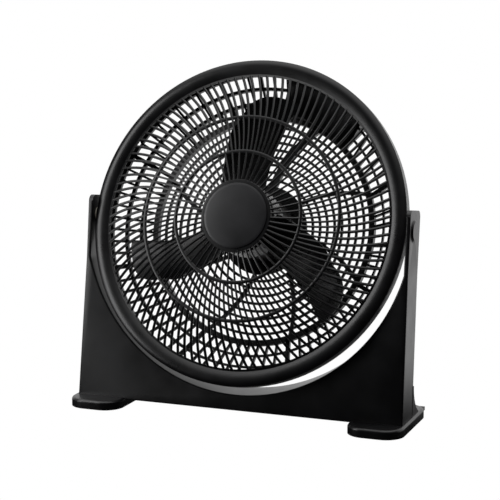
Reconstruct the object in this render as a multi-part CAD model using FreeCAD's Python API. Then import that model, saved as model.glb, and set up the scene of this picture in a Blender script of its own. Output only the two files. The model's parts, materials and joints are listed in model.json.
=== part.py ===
"""Floor fan: a round head that tilts between the arms of a slim U-shaped stand.

Millimetres, +Z up, the front towards -Y, the floor at zero. The head is drawn about its own axis, with
the tilt pivot at the origin and its front towards -Y. The stand is drawn upright about the same pivot.
Both are then leaned back and lifted into place, and the whole fan is moved along Y so that the origin
lies under the middle of its box.
"""
import FreeCAD, Part
import math
import os

Vector = FreeCAD.Vector

# Whole fan
head_tilt_degrees = 18.0
stand_lean_degrees = 7.6
cut_overrun = 5.0
running_clearance = 0.05
fit_clearance = 0.2
screw_clearance = 0.05

# Stand
stand_depth = 48.0
stand_front_set = 20.0
arm_rise = 27.0
arm_thickness = 6.0
head_side_gap = 2.0
base_flare = 3.0
splay_drop = 60.0
trough_gap = 10.0
trough_floor_height = 32.5
trough_rise = 5.5
panel_floor_gap = 11.0
shell_wall = 2.6
rear_shell_thickness = 2.6
arm_corner_radius = 9.0
hollow_top_drop = 75.0
stand_boss_radius = 5.0
stand_screw_side_shares = (0.925, 0.895, 0.52)
stand_screw_drop_shares = (0.46, 0.75, 0.88)

# Self-tapping screws that hold the stand, the feet, the guard and the covers
screw_radius = 1.75
screw_head_radius = 3.8
screw_head_height = 2.4
screw_grip = 14.0

# Feet
foot_width = 76.0
foot_side_reach = 4.0
foot_front_reach = 84.0
foot_rear_reach = 62.0
foot_height = 13.5
foot_corner_radius = 26.0
foot_edge_radius = 4.0
foot_screw_spacing = 36.0
foot_boss_rise = 13.0
foot_screw_floor = 3.2
gusset_top = 54.0
gusset_width = 29.0
gusset_rear_reach = 60.0
gusset_hollow_share = 0.24
pad_radius = 10.0
pad_thickness = 2.5
pad_proud = 1.0
pad_end_set = 24.0

# Tilt pivot
pivot_bolt_radius = 4.0
pivot_bolt_head_radius = 7.0
pivot_bolt_head_height = 2.0
pivot_boss_radius = 8.0
pivot_boss_length = 13.0
pivot_washer_radius = 11.0
pivot_washer_thickness = 1.0
pivot_cover_radius = 15.0
pivot_cover_top_radius = 13.0
pivot_cover_height = 2.6

# Front guard; a set is a distance ahead of the pivot
rim_radius = 224.0
rim_crest_inset = 9.0
rim_crest_set = 13.0
rim_shoulder_set = 10.5
rim_seam_set = 9.0
guard_opening_inset = 20.0
guard_apex_set = 51.0
guard_edge_set = 10.4
guard_thickness = 3.0
guard_seat_radius = 46.0
guard_inner_slot_radius = 49.5
guard_ring_radii = (89.0, 139.0)
guard_ring_width = 5.0
guard_outer_slot_inset = 23.0
guard_inner_ribs = 54
guard_outer_ribs = 108
guard_inner_rib_width = 3.0
guard_outer_rib_width = 3.9
guard_rib_sweep_degrees = 11.2
guard_rib_bend = 1.6
guard_screw_inset = 9.5
guard_screw_boss_radius = 4.5
guard_screws_around = 6
guard_screw_first_degrees = 30.0
guard_screw_seat = 8.0

# Centre cap
cap_radius = 44.5
cap_edge_height = 1.4
cap_crown_height = 3.6
cap_peg_radius = 2.0
cap_peg_circle = 30.0
cap_peg_length = 5.0
cap_pegs = 3

# Rear housing; a depth is a distance behind the pivot
housing_wall = 2.6
housing_step_depth = 4.0
drum_inset = 8.0
drum_front_depth = 11.0
drum_rear_inset = 10.0
drum_rear_depth = 18.0
strong_ring_inset = 61.0
strong_ring_width = 8.0
strong_ring_height = 9.0
strong_ring_depth = 61.0
motor_plate_radius = 60.0
motor_plate_depth = 66.5
motor_plate_hole_radius = 15.0
rear_slot_inset = 15.0
rear_slot_inner_radius = 63.0
rear_ring_width = 3.6
rear_rib_width = 3.2
rear_outer_ribs = 72
rear_outer_rows = 3
rear_inner_rows = 9
strut_count = 8
strut_width = 6.0
strut_end_degrees = 65.0
strut_sweep_degrees = 20.0

# Control box in the rear housing
box_half_degrees = 17.0
box_front_depth = 24.0
box_rear_depth = 63.0
box_ring_lap = 1.0
box_inset = 12.0
control_cover_thickness = 2.5
control_screw_margin = 7.0
control_screw_degrees = 14.0
control_boss_radius = 4.0
knob_box_share = 0.52
knob_radius = 16.0
knob_top_radius = 13.5
knob_height = 14.0
knob_grip_width = 6.0
knob_grip_height = 5.0
switch_width = 30.0
switch_depth = 17.0
switch_bush_radius = 5.0
switch_bush_height = 1.6
switch_shaft_radius = 3.0
switch_shaft_length = 24.0
gland_degrees = -10.0
gland_radius = 5.5
gland_flange_radius = 8.0
gland_flange_height = 4.0
gland_bore_radius = 3.4

# Wire channel along the thick strut
channel_width = 11.0
channel_height = 4.5
leads_width = 5.0
leads_height = 2.2

# Motor
stator_radius = 44.0
stator_length = 28.0
stator_bore_radius = 25.0
stator_slots = 16
stator_slot_width = 4.0
stator_slot_depth = 9.0
air_gap = 0.4
rotor_shortfall = 4.0
bracket_wall = 3.0
bracket_depth = 13.5
bracket_hub_radius = 13.0
bush_radius = 8.0
bush_length = 10.0
winding_inner_radius = 27.0
winding_outer_radius = 35.0
winding_height = 8.0
motor_bolt_circle = 38.0
motor_bolt_radius = 2.0
motor_bolt_head_radius = 3.4
motor_bolt_head_height = 2.2
motor_bolts_around = 4
mount_screw_circle = 30.0
mount_screw_first_degrees = 45.0
shaft_radius = 4.0
shaft_rear_over = 2.0
capacitor_width = 30.0
capacitor_depth = 11.0
capacitor_height = 18.0
capacitor_drop = 30.0
cover_radius = 57.0
cover_top_radius = 50.0
cover_depth = 16.0
cover_wall = 2.4
cover_boss_radius = 4.0
cover_screw_circle = 46.0
cover_screws_around = 3
cover_screw_first_degrees = 30.0
cover_slots = 12
cover_slot_width = 3.0
cover_slot_inner_radius = 14.0
cover_slot_outer_radius = 38.0

# Fan wheel
hub_radius = 48.0
hub_wall = 3.0
hub_front_set = 34.0
hub_rear_gap = 4.0
hub_boss_radius = 9.0
wheel_inset = 48.0
blade_count = 3
blade_first_degrees = 88.8
blade_thickness = 2.4
blade_camber_share = 0.06
blade_inner_stations = (44.0, 85.0, 140.0)
blade_chords = (60.0, 65.0, 71.0, 75.0)
blade_tip_half_width = 37.0
blade_root_half_width = 100.0
blade_tip_rounds = (14.0, 38.0)
blade_pitches_degrees = (29.6, 25.4, 19.8, 16.0)
blade_depths = (-11.0, -7.3, -5.7, -4.6)
blade_sweeps_degrees = (11.0, 5.8, -1.3, -6.2)
pin_radius = 1.5
pin_length = 15.0
nut_radius = 13.0
nut_nose_radius = 8.0
nut_height = 9.5
nut_end_wall = 1.8

# Worked out from the values above
tilt = math.radians(head_tilt_degrees)
lean = math.radians(stand_lean_degrees)
same_place = running_clearance / 1000
arm_inner_half = rim_radius + head_side_gap
arm_outer_half = arm_inner_half + arm_thickness
base_outer_half = arm_outer_half + base_flare
trough_radius = rim_radius + trough_gap
trough_middle_height = trough_radius + trough_floor_height
pivot_height = trough_middle_height - trough_rise
foot_outer_half = base_outer_half + foot_side_reach
foot_inner_half = foot_outer_half - foot_width
gusset_outer_half = base_outer_half
gusset_inner_half = gusset_outer_half - gusset_width
pivot_boss_face_half = arm_inner_half - pivot_washer_thickness - 2 * fit_clearance
rim_crest_radius = rim_radius - rim_crest_inset
guard_opening_radius = rim_radius - guard_opening_inset
guard_outer_slot_radius = rim_radius - guard_outer_slot_inset
guard_screw_radius = rim_radius - guard_screw_inset
drum_radius = rim_radius - drum_inset
drum_rear_radius = rim_radius - drum_rear_inset
strong_ring_radius = rim_radius - strong_ring_inset
rear_slot_outer_radius = rim_radius - rear_slot_inset
box_inner_radius = strong_ring_radius - box_ring_lap
box_outer_radius = rim_radius - box_inset
knob_circle_radius = box_inner_radius + knob_box_share * (box_outer_radius - box_inner_radius)
wheel_radius = rim_radius - wheel_inset
blade_stations = blade_inner_stations + (wheel_radius + blade_thickness,)
stand_rear_set = stand_depth - stand_front_set
stand_reach = pivot_height / math.cos(lean)
dome_rise = guard_apex_set - guard_edge_set
dome_sphere_radius = (guard_opening_radius ** 2 + dome_rise ** 2) / (2 * dome_rise)
plate_front_depth = motor_plate_depth - housing_wall
stator_rear_depth = plate_front_depth - bracket_depth
stator_front_depth = stator_rear_depth - stator_length
bracket_front_depth = stator_front_depth - bracket_depth
hub_rear_depth = bracket_front_depth - hub_rear_gap
knob_angle = math.radians(strut_end_degrees)
knob_seat_depth = box_rear_depth + control_cover_thickness + fit_clearance
knob_rear_depth = knob_seat_depth + knob_height
knob_rise = knob_circle_radius * math.sin(knob_angle)
grip_end_angle = knob_angle + math.asin(knob_grip_width / 2 / knob_top_radius)
grip_rise = knob_rise + knob_top_radius * math.sin(grip_end_angle)
rear_reach = knob_rear_depth * math.cos(tilt) + grip_rise * math.sin(tilt)
middle_shift = (foot_front_reach - rear_reach) / 2


def flat(x, z):
    """A point of a drawing seen from the front."""
    return Vector(x, 0, z)


def around(radius, degrees):
    """A point at a radius and an angle about the head's axis, seen from the front."""
    angle = math.radians(degrees)
    return Vector(radius * math.cos(angle), 0, radius * math.sin(angle))


def face_of(start, steps):
    """A face inside an outline: each step is (end,) for a line or (middle, end) for an arc."""
    edges = []
    here = start
    for step in steps + [(start,)]:
        end = step[-1]
        if end.isEqual(here, same_place):
            continue
        bowed = len(step) == 2 and step[0].distanceToLine(here, end - here) > same_place
        edge = Part.Arc(here, step[0], end) if bowed else Part.LineSegment(here, end)
        edges.append(edge.toShape())
        here = end
    return Part.Face(Part.Wire(edges))


def prism(face, front, rear):
    """A front-view face drawn out along Y."""
    solid = face.extrude(Vector(0, rear - front, 0))
    solid.translate(Vector(0, front, 0))
    return solid


def rod(radius, front, rear, centre=Vector()):
    """A cylinder along Y."""
    return Part.makeCylinder(radius, rear - front, centre + Vector(0, front, 0), Vector(0, 1, 0))


def post(radius, low, high, x, y):
    """A cylinder along Z."""
    return Part.makeCylinder(radius, high - low, Vector(x, y, low))


def axle(radius, inner, outer, side):
    """A cylinder along X on one side of the fan; side is 1 or -1."""
    return Part.makeCylinder(radius, outer - inner, Vector(side * inner, 0, 0), Vector(side, 0, 0))


def turned(start, steps):
    """A solid turned about the head's axis from an outline in (radius, depth)."""
    return face_of(start, steps).revolve(Vector(), Vector(0, 1, 0), 360)


def at(radius, depth):
    """A point of a turned outline."""
    return Vector(radius, depth, 0)


def spin(shape, degrees):
    """A copy turned about the head's axis, counter-clockwise seen from the front."""
    copy = shape.copy()
    copy.rotate(Vector(), Vector(0, -1, 0), degrees)
    return copy


def ring_of(shape, count, first=0.0):
    """Copies of a shape, evenly spaced about the head's axis."""
    return [spin(shape, first + 360.0 * index / count) for index in range(count)]


def joined(shapes):
    """Several touching or overlapping solids as one."""
    return shapes[0].multiFuse(shapes[1:]).removeSplitter()


def without(shape, tools):
    """A solid with several tools cut out of it."""
    return shape.cut(Part.makeCompound(tools))


def leaned(shape, degrees):
    """A copy leaned back about the pivot and lifted to its place on the fan."""
    copy = shape.copy()
    copy.rotate(Vector(), Vector(1, 0, 0), -degrees)
    copy.translate(Vector(0, middle_shift, pivot_height))
    return copy


def on_stand(shape):
    """A copy leaned back as the stand is."""
    return leaned(shape, stand_lean_degrees)


def on_head(shape):
    """A copy tilted back as the head is."""
    return leaned(shape, head_tilt_degrees)


def both_sides(build):
    """One group of the left and the right copy of a piece."""
    return Part.makeCompound([build(-1), build(1)])


def side_half(drop):
    """Half the stand's width at a distance below the pivot."""
    share = max(0.0, (drop - splay_drop) / (stand_reach - splay_drop))
    return arm_outer_half + (base_outer_half - arm_outer_half) * share


def stand_face_depth(set_back, height):
    """Where the stand's front or rear plane lies along Y at a height above the floor."""
    return (set_back / math.cos(lean)) - (pivot_height - height) * math.tan(lean)


def under_plane(height):
    """A block that fills everything below a level plane."""
    span = 4 * base_outer_half
    return Part.makeBox(span, span, span, Vector(-span / 2, -span / 2, height - span))


def trough(radius):
    """A level cylinder below the head, from front to back."""
    span = base_outer_half
    return Part.makeCylinder(radius, 2 * span, Vector(0, -span, trough_middle_height), Vector(0, 1, 0))


def stand_opening(half, radius):
    """The space between the stand's arms, rounded below into the trough."""
    span = base_outer_half
    slab = Part.makeBox(2 * half, 2 * span, 2 * span, Vector(-half, -span, trough_middle_height))
    below = Part.makeBox(2 * half, 2 * span, span, Vector(-half, -span, trough_middle_height - span))
    return joined([slab, trough(radius).common(below)])


def stand_block(grow):
    """The whole U-shaped stand as one block, larger by grow all round, with a level foot."""
    low = -stand_reach - foot_height
    edge = arm_outer_half + grow
    outer = [(side_half(stand_reach) + grow, low), (edge, -splay_drop), (edge, arm_rise)]
    steps = [(flat(-x, z),) for x, z in outer[1:]] + [(flat(x, z),) for x, z in reversed(outer)]
    block = prism(face_of(flat(-outer[0][0], low), steps), -stand_front_set - grow, stand_rear_set + grow)
    block = on_stand(block.common(arm_profile(grow, low)))
    opening = stand_opening(arm_inner_half - grow, trough_radius - grow)
    return without(block, [opening, under_plane(panel_floor_gap)])


def arm_profile(grow, low):
    """The stand's side view with rounded arm tops, drawn out across its width."""
    front, rear, radius = -stand_front_set - grow, stand_rear_set + grow, arm_corner_radius
    bow = radius * (1 - math.sqrt(0.5))
    across = -base_outer_half - grow - cut_overrun

    def side(y, z):
        return Vector(across, y, z)

    steps = [(side(front, arm_rise - radius),)]
    steps += [(side(front + bow, arm_rise - bow), side(front + radius, arm_rise))]
    steps += [(side(rear - radius, arm_rise),)]
    steps += [(side(rear - bow, arm_rise - bow), side(rear, arm_rise - radius)), (side(rear, low),)]
    return face_of(side(front, low), steps).extrude(Vector(-2 * across, 0, 0))


def stand_hollow(wall, front, rear, level):
    """The space inside the stand's walls, between two depths and above a level."""
    low = stand_reach + foot_height
    top = hollow_top_drop
    corner = side_half(stand_reach) - wall
    shoulder = side_half(top) - wall
    steps = [(flat(-shoulder, -top),), (flat(shoulder, -top),), (flat(corner, -low),)]
    block = prism(face_of(flat(-corner, -low), steps), front, rear)
    return without(on_stand(block), [trough(trough_radius + wall), under_plane(level)])


def stand_screw_places():
    """Where the screws that hold the stand's two shells lie, in the stand's own upright drawing."""
    places = []
    for across, down in zip(stand_screw_side_shares, stand_screw_drop_shares):
        places += [(side * across * arm_outer_half, -down * stand_reach) for side in (-1, 1)]
    return places


def foot_screw_places():
    """Where the foot screws stand, in the middle of the stand's depth."""
    middle = (foot_inner_half + base_outer_half) / 2
    front = stand_face_depth(-stand_front_set, panel_floor_gap)
    rear = stand_face_depth(stand_rear_set, panel_floor_gap)
    depth = (front + rear) / 2 + middle_shift
    places = []
    for side in (-1, 1):
        places += [(side * (middle + part * foot_screw_spacing / 2), depth) for part in (-1, 1)]
    return places


def build_stand_front_shell():
    """The front panel with its side walls, trough wall, solid arms and screw bosses."""
    plate_front = stand_rear_set - rear_shell_thickness
    hollow = stand_hollow(shell_wall, -stand_front_set + shell_wall, stand_rear_set + cut_overrun,
                          panel_floor_gap + shell_wall)
    shell = stand_block(0).cut(hollow)
    boss_front = -stand_front_set + shell_wall / 2
    bosses = [on_stand(rod(stand_boss_radius, boss_front, plate_front, flat(x, z)))
              for x, z in stand_screw_places()]
    foot_top = panel_floor_gap + shell_wall + foot_boss_rise
    bosses += [post(stand_boss_radius, panel_floor_gap, foot_top, x, y) for x, y in foot_screw_places()]
    shell = joined([shell] + bosses)
    hole = screw_radius + screw_clearance
    holes = [on_stand(rod(hole, plate_front - screw_grip, stand_rear_set, flat(x, z)))
             for x, z in stand_screw_places()]
    low = panel_floor_gap - cut_overrun
    holes += [post(hole, low, foot_top - shell_wall, x, y) for x, y in foot_screw_places()]
    bolt_hole = pivot_bolt_radius + running_clearance
    sink = pivot_bolt_head_radius + fit_clearance
    sink_floor = arm_outer_half - pivot_bolt_head_height - fit_clearance
    for side in (-1, 1):
        holes.append(on_stand(axle(bolt_hole, arm_inner_half - cut_overrun, arm_outer_half, side)))
        holes.append(on_stand(axle(sink, sink_floor, arm_outer_half + cut_overrun, side)))
    return without(shell, holes)


def build_stand_rear_shell():
    """The plate that closes the back of the stand."""
    wall = shell_wall + fit_clearance
    level = panel_floor_gap + shell_wall + fit_clearance
    plate = stand_hollow(wall, stand_rear_set - rear_shell_thickness, stand_rear_set, level)
    hole = screw_radius + screw_clearance
    holes = [on_stand(rod(hole, -stand_front_set, stand_rear_set + cut_overrun, flat(x, z)))
             for x, z in stand_screw_places()]
    return without(plate, holes)


def screw(seat, grip, centre=Vector()):
    """A pan-head screw along Y: its head stands behind the seat and its shank runs forward from it."""
    head = rod(screw_head_radius, seat, seat + screw_head_height, centre)
    shank = rod(screw_radius, seat - grip, seat, centre)
    return joined([head, shank])


def build_stand_screws():
    """The screws through the rear shell into the front shell's bosses."""
    return Part.makeCompound([on_stand(screw(stand_rear_set, screw_grip, flat(x, z)))
                              for x, z in stand_screw_places()])


def foot_plan(side):
    """The rounded plate of a foot, its top edge softened."""
    inner, outer = foot_inner_half, foot_outer_half
    front, rear = middle_shift - foot_front_reach, middle_shift + foot_rear_reach
    corner = Vector(inner, front, pad_proud)
    plate = Part.makeBox(outer - inner, rear - front, foot_height - pad_proud, corner)
    upright = [edge for edge in plate.Edges if abs(edge.tangentAt(edge.FirstParameter).z) > 0.5]
    plate = plate.makeFillet(foot_corner_radius, upright)
    top = [edge for edge in plate.Edges
           if all(abs(end.Z - foot_height) < running_clearance for end in edge.Vertexes)]
    plate = plate.makeFillet(foot_edge_radius, top)
    return plate if side > 0 else plate.mirror(Vector(), Vector(1, 0, 0))


def foot_gusset(side):
    """The hollow-curved web behind the stand that ties it to the foot."""
    low = foot_height / 2
    inner, outer = sorted((side * gusset_inner_half, side * gusset_outer_half))

    def web(y, z):
        return Vector(inner, y + middle_shift, z)

    foot_of_web = stand_face_depth(stand_rear_set, low) + fit_clearance
    top_of_web = stand_face_depth(stand_rear_set, gusset_top) + fit_clearance
    crown = foot_height - foot_edge_radius / 2
    bend_depth = top_of_web + (gusset_rear_reach - top_of_web) * gusset_hollow_share
    bend_rise = crown + (gusset_top - crown) * gusset_hollow_share
    steps = [(web(top_of_web, gusset_top),), (web(bend_depth, bend_rise), web(gusset_rear_reach, crown))]
    steps += [(web(gusset_rear_reach, low),)]
    return face_of(web(foot_of_web, low), steps).extrude(Vector(outer - inner, 0, 0))


def pad_places(side):
    """The middles of the two rubber pads under a foot."""
    middle = side * (foot_inner_half + foot_outer_half) / 2
    front = middle_shift - foot_front_reach + pad_end_set
    rear = middle_shift + foot_rear_reach - pad_end_set
    return [(middle, front), (middle, rear)]


def build_foot(side):
    """One foot, pocketed for the stand and for its pads and screws."""
    foot = joined([foot_plan(side), foot_gusset(side)])
    tools = [stand_block(fit_clearance)]
    recess = pad_radius + fit_clearance
    tools += [post(recess, -cut_overrun, pad_thickness, x, y) for x, y in pad_places(side)]
    seat = foot_screw_floor + screw_head_height
    for x, y in foot_screw_places():
        tools.append(post(screw_radius + screw_clearance, -cut_overrun, foot_height, x, y))
        tools.append(post(screw_head_radius + fit_clearance, -cut_overrun, seat, x, y))
    return without(foot, tools)


def build_foot_pads():
    """The rubber pads that the fan stands on."""
    places = pad_places(-1) + pad_places(1)
    return Part.makeCompound([post(pad_radius, 0, pad_thickness, x, y) for x, y in places])


def build_foot_screws():
    """The screws up through the feet into the stand."""
    seat = foot_screw_floor + screw_head_height
    screws = []
    for x, y in foot_screw_places():
        head = post(screw_head_radius, foot_screw_floor, seat, x, y)
        screws.append(joined([head, post(screw_radius, seat, seat + screw_grip, x, y)]))
    return Part.makeCompound(screws)


def build_pivot_cover(side):
    """The disc that hides a pivot bolt."""
    middle = Vector(side * arm_outer_half, 0, 0)
    disc = Part.makeCone(pivot_cover_radius, pivot_cover_top_radius, pivot_cover_height, middle,
                         Vector(side, 0, 0))
    return on_stand(disc)


def build_pivot_washers():
    """The friction washers between the arms and the head."""
    def washer(side):
        inner = (arm_inner_half + pivot_boss_face_half - pivot_washer_thickness) / 2
        ring = axle(pivot_washer_radius, inner, inner + pivot_washer_thickness, side)
        hole = axle(pivot_bolt_radius + fit_clearance, inner - cut_overrun, arm_inner_half, side)
        return on_stand(ring.cut(hole))
    return both_sides(washer)


def build_pivot_bolts():
    """The shoulder bolts that the head turns on."""
    def bolt(side):
        inner = pivot_boss_face_half - pivot_boss_length + fit_clearance
        seat = arm_outer_half - pivot_bolt_head_height
        shank = axle(pivot_bolt_radius, inner, seat, side)
        head = axle(pivot_bolt_head_radius, seat, arm_outer_half - fit_clearance, side)
        return on_head(joined([shank, head]))
    return both_sides(bolt)


def dome_set(radius):
    """How far the front guard's dome stands ahead of the pivot at a radius."""
    return guard_apex_set - dome_sphere_radius + math.sqrt(dome_sphere_radius ** 2 - radius ** 2)


def guard_rib_degrees(radius):
    """How far a front rib has turned at a radius."""
    share = max(0.0, (radius - guard_seat_radius) / (guard_outer_slot_radius - guard_seat_radius))
    return guard_rib_sweep_degrees * share ** guard_rib_bend


def slot_between(inner, outer, low_side, high_side):
    """A slot between two curves; each side gives an angle in degrees at a radius."""
    middle = (inner + outer) / 2

    def mean(radius):
        return (low_side(radius) + high_side(radius)) / 2

    steps = [(around(middle, low_side(middle)), around(outer, low_side(outer)))]
    steps += [(around(outer, mean(outer)), around(outer, high_side(outer)))]
    steps += [(around(middle, high_side(middle)), around(inner, high_side(inner)))]
    steps += [(around(inner, mean(inner)), around(inner, low_side(inner)))]
    return face_of(around(inner, low_side(inner)), steps)


def guard_slot(inner, outer, ribs, width):
    """One opening between two neighbouring front ribs."""
    pitch = 360.0 / ribs

    def half(radius):
        return math.degrees(width / 2 / radius)

    return slot_between(inner, outer, lambda r: guard_rib_degrees(r) + half(r),
                        lambda r: guard_rib_degrees(r) + pitch - half(r))


def guard_zones():
    """The three zones of the front guard: inner radius, outer radius, ribs and rib width."""
    first, second = guard_ring_radii
    edge = guard_ring_width / 2
    return [(guard_inner_slot_radius, first - edge, guard_inner_ribs, guard_inner_rib_width),
            (first + edge, second - edge, guard_outer_ribs, guard_inner_rib_width),
            (second + edge, guard_outer_slot_radius, guard_outer_ribs, guard_outer_rib_width)]


def guard_shell():
    """The front guard before its openings: a dome with a flat seat for the cap and a rounded rim."""
    seat, opening, wall = guard_seat_radius, guard_opening_radius, guard_thickness
    middle = (seat + opening) / 2
    flat_set = dome_set(seat)
    skirt = rim_radius - housing_wall
    under_crest = rim_crest_set - wall
    steps = [(at(seat, -flat_set),), (at(middle, -dome_set(middle)), at(opening, -guard_edge_set))]
    steps += [(at(rim_crest_radius, -rim_crest_set), at(rim_radius, -rim_shoulder_set))]
    steps += [(at(rim_radius, -rim_seam_set),), (at(skirt, -rim_seam_set),)]
    steps += [(at(rim_crest_radius, -under_crest), at(opening, -guard_edge_set + wall))]
    steps += [(at(middle, -dome_set(middle) + wall), at(seat, -flat_set + wall))]
    steps += [(at(0, -flat_set + wall),)]
    return turned(at(0, -flat_set), steps)


def build_front_guard():
    """The domed front guard with its curved ribs, rings, rim and screw bosses."""
    place = around(guard_screw_radius, 0)
    boss = rod(guard_screw_boss_radius, -rim_crest_set + guard_thickness / 2, 0, place)
    shell = joined([guard_shell()] + ring_of(boss, guard_screws_around, guard_screw_first_degrees))
    tools = []
    for inner, outer, ribs, width in guard_zones():
        slot = prism(guard_slot(inner, outer, ribs, width), -guard_apex_set - cut_overrun, 0)
        tools += ring_of(slot, ribs)
    pilot_end = guard_screw_seat - screw_grip - screw_clearance
    pilot = rod(screw_radius + screw_clearance, pilot_end, cut_overrun, place)
    tools += ring_of(pilot, guard_screws_around, guard_screw_first_degrees)
    peg_hole = rod(cap_peg_radius + running_clearance, -guard_apex_set, 0, around(cap_peg_circle, 0))
    tools += ring_of(peg_hole, cap_pegs)
    return on_head(without(shell, tools))


def build_guard_cap():
    """The plain disc at the middle of the front guard, with its snap pegs."""
    seat = -dome_set(guard_seat_radius)
    edge = seat - cap_edge_height
    crown = seat - cap_crown_height
    half = cap_radius / 2
    rise = edge - crown
    sphere = (cap_radius ** 2 + rise ** 2) / (2 * rise)
    bulge = crown + sphere - math.sqrt(sphere ** 2 - half ** 2)
    steps = [(at(cap_radius, seat),), (at(cap_radius, edge),), (at(half, bulge), at(0, crown))]
    cap = turned(at(0, seat), steps)
    peg = rod(cap_peg_radius, edge, seat + cap_peg_length, around(cap_peg_circle, 0))
    return on_head(joined([cap] + ring_of(peg, cap_pegs)))


def build_guard_screws():
    """The screws that hold the front guard to the rear housing."""
    one = screw(guard_screw_seat, screw_grip, around(guard_screw_radius, 0))
    return on_head(Part.makeCompound(ring_of(one, guard_screws_around, guard_screw_first_degrees)))


def strut_degrees(radius):
    """How far a rear strut lies from its outer end at a radius."""
    share = (strong_ring_radius - radius) / (strong_ring_radius - motor_plate_radius)
    return strut_end_degrees + strut_sweep_degrees * max(0.0, share)


def strut_half_degrees(radius, width):
    """Half the angle that a strut of some width takes at a radius."""
    return math.degrees(width / 2 / radius)


def strut_face(width, inner, outer):
    """The thick strut seen from the front, at some width."""
    return slot_between(inner, outer, lambda r: strut_degrees(r) - strut_half_degrees(r, width),
                        lambda r: strut_degrees(r) + strut_half_degrees(r, width))


def rear_rows():
    """The rows of openings in the rear guard, as inner and outer radii."""
    rows = []
    ring_inner = strong_ring_radius - strong_ring_width
    zones = [(rear_slot_inner_radius, ring_inner, rear_inner_rows),
             (strong_ring_radius, rear_slot_outer_radius, rear_outer_rows)]
    for inner, outer, count in zones:
        pitch = (outer - inner + rear_ring_width) / count
        for index in range(count):
            start = inner + index * pitch
            rows.append((start, start + pitch - rear_ring_width))
    return rows


def rear_bay(inner, bay):
    """The two sides of a bay between struts, as angles at a radius; bay zero follows the thick strut."""
    pitch = 360.0 / strut_count
    first_width = channel_width if bay == 0 else strut_width
    last_width = channel_width if bay == strut_count - 1 else strut_width
    box_edge = box_half_degrees + strut_half_degrees(box_inner_radius, strut_width)
    beside_box = inner >= strong_ring_radius
    first_extra = box_edge if beside_box and bay == 0 else 0.0
    last_extra = box_edge if beside_box and bay == strut_count - 1 else 0.0

    def low_side(radius):
        margin = max(first_extra, strut_half_degrees(radius, first_width))
        return strut_degrees(radius) + bay * pitch + margin

    def high_side(radius):
        margin = max(last_extra, strut_half_degrees(radius, last_width))
        return strut_degrees(radius) + (bay + 1) * pitch - margin

    return low_side, high_side


def rear_cells(inner, outer, bay):
    """The openings of one row in one bay; outside the strong ring, thin ribs part them."""
    low_side, high_side = rear_bay(inner, bay)
    middle = (inner + outer) / 2
    span = high_side(middle) - low_side(middle)
    cells = max(1, round(span * rear_outer_ribs / 360.0)) if inner >= strong_ring_radius else 1

    def edge(radius, index, turn):
        rib = strut_half_degrees(radius, rear_rib_width) if 0 < index < cells else 0.0
        return low_side(radius) + (high_side(radius) - low_side(radius)) * index / cells + turn * rib

    faces = []
    for index in range(cells):
        faces.append(slot_between(inner, outer, lambda r, i=index: edge(r, i, 1),
                                  lambda r, i=index: edge(r, i + 1, -1)))
    return faces


def sector(inner, outer, half_degrees, front, rear):
    """A block of the control box, centred on the thick strut's outer end."""
    low, high = strut_end_degrees - half_degrees, strut_end_degrees + half_degrees
    return prism(slot_between(inner, outer, lambda r: low, lambda r: high), front, rear)


def housing_shell():
    """The drum and the rear guard before their openings."""
    wall = housing_wall
    plate_inner = motor_plate_depth - wall
    ring_inner = strong_ring_radius - strong_ring_width
    slope = (strong_ring_depth - drum_rear_depth) / (drum_rear_radius - strong_ring_radius)
    ring_roof = drum_rear_depth - wall + slope * (drum_rear_radius - wall - strong_ring_radius)
    ring_front = strong_ring_depth - strong_ring_height
    inner_roof = plate_inner - (motor_plate_depth - strong_ring_depth)
    steps = [(at(rim_radius, housing_step_depth),), (at(drum_radius, drum_front_depth),)]
    steps += [(at(drum_rear_radius, drum_rear_depth),), (at(strong_ring_radius, strong_ring_depth),)]
    steps += [(at(motor_plate_radius, motor_plate_depth),), (at(motor_plate_hole_radius, motor_plate_depth),)]
    steps += [(at(motor_plate_hole_radius, plate_inner),), (at(motor_plate_radius, plate_inner),)]
    steps += [(at(ring_inner, inner_roof),), (at(ring_inner, ring_front),)]
    steps += [(at(strong_ring_radius, ring_front),), (at(strong_ring_radius, ring_roof),)]
    steps += [(at(drum_rear_radius - wall, drum_rear_depth - wall),)]
    steps += [(at(drum_radius - wall, drum_front_depth - wall),)]
    steps += [(at(rim_radius - wall, housing_step_depth - wall),), (at(rim_radius - wall, -rim_seam_set),)]
    return turned(at(rim_radius, -rim_seam_set), steps)


def control_screw_places():
    """Where the screws of the control cover stand."""
    places = []
    for radius in (box_inner_radius + control_screw_margin, box_outer_radius - control_screw_margin):
        for part in (-1, 1):
            places.append(around(radius, strut_end_degrees + part * control_screw_degrees))
    return places


def control_box():
    """The box behind the drum that holds the switch, and the space inside it."""
    wall = housing_wall
    wall_degrees = math.degrees(wall / knob_circle_radius)
    box = sector(box_inner_radius, box_outer_radius, box_half_degrees, box_front_depth, box_rear_depth)
    space = sector(box_inner_radius + wall, box_outer_radius - wall, box_half_degrees - wall_degrees,
                   box_front_depth + wall, box_rear_depth + cut_overrun)
    return box, space


def housing_bosses():
    """The bosses inside the control box and the two that carry the pivot bolts."""
    front = box_front_depth + housing_wall / 2
    inner = pivot_boss_face_half - pivot_boss_length
    posts = [rod(control_boss_radius, front, box_rear_depth, place) for place in control_screw_places()]
    return posts + [axle(pivot_boss_radius, inner, pivot_boss_face_half, side) for side in (-1, 1)]


def housing_openings():
    """The rows of openings in the rear guard."""
    tools = []
    for inner, outer in rear_rows():
        for bay in range(strut_count):
            for face in rear_cells(inner, outer, bay):
                tools.append(prism(face, drum_front_depth, motor_plate_depth + cut_overrun))
    return tools


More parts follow.
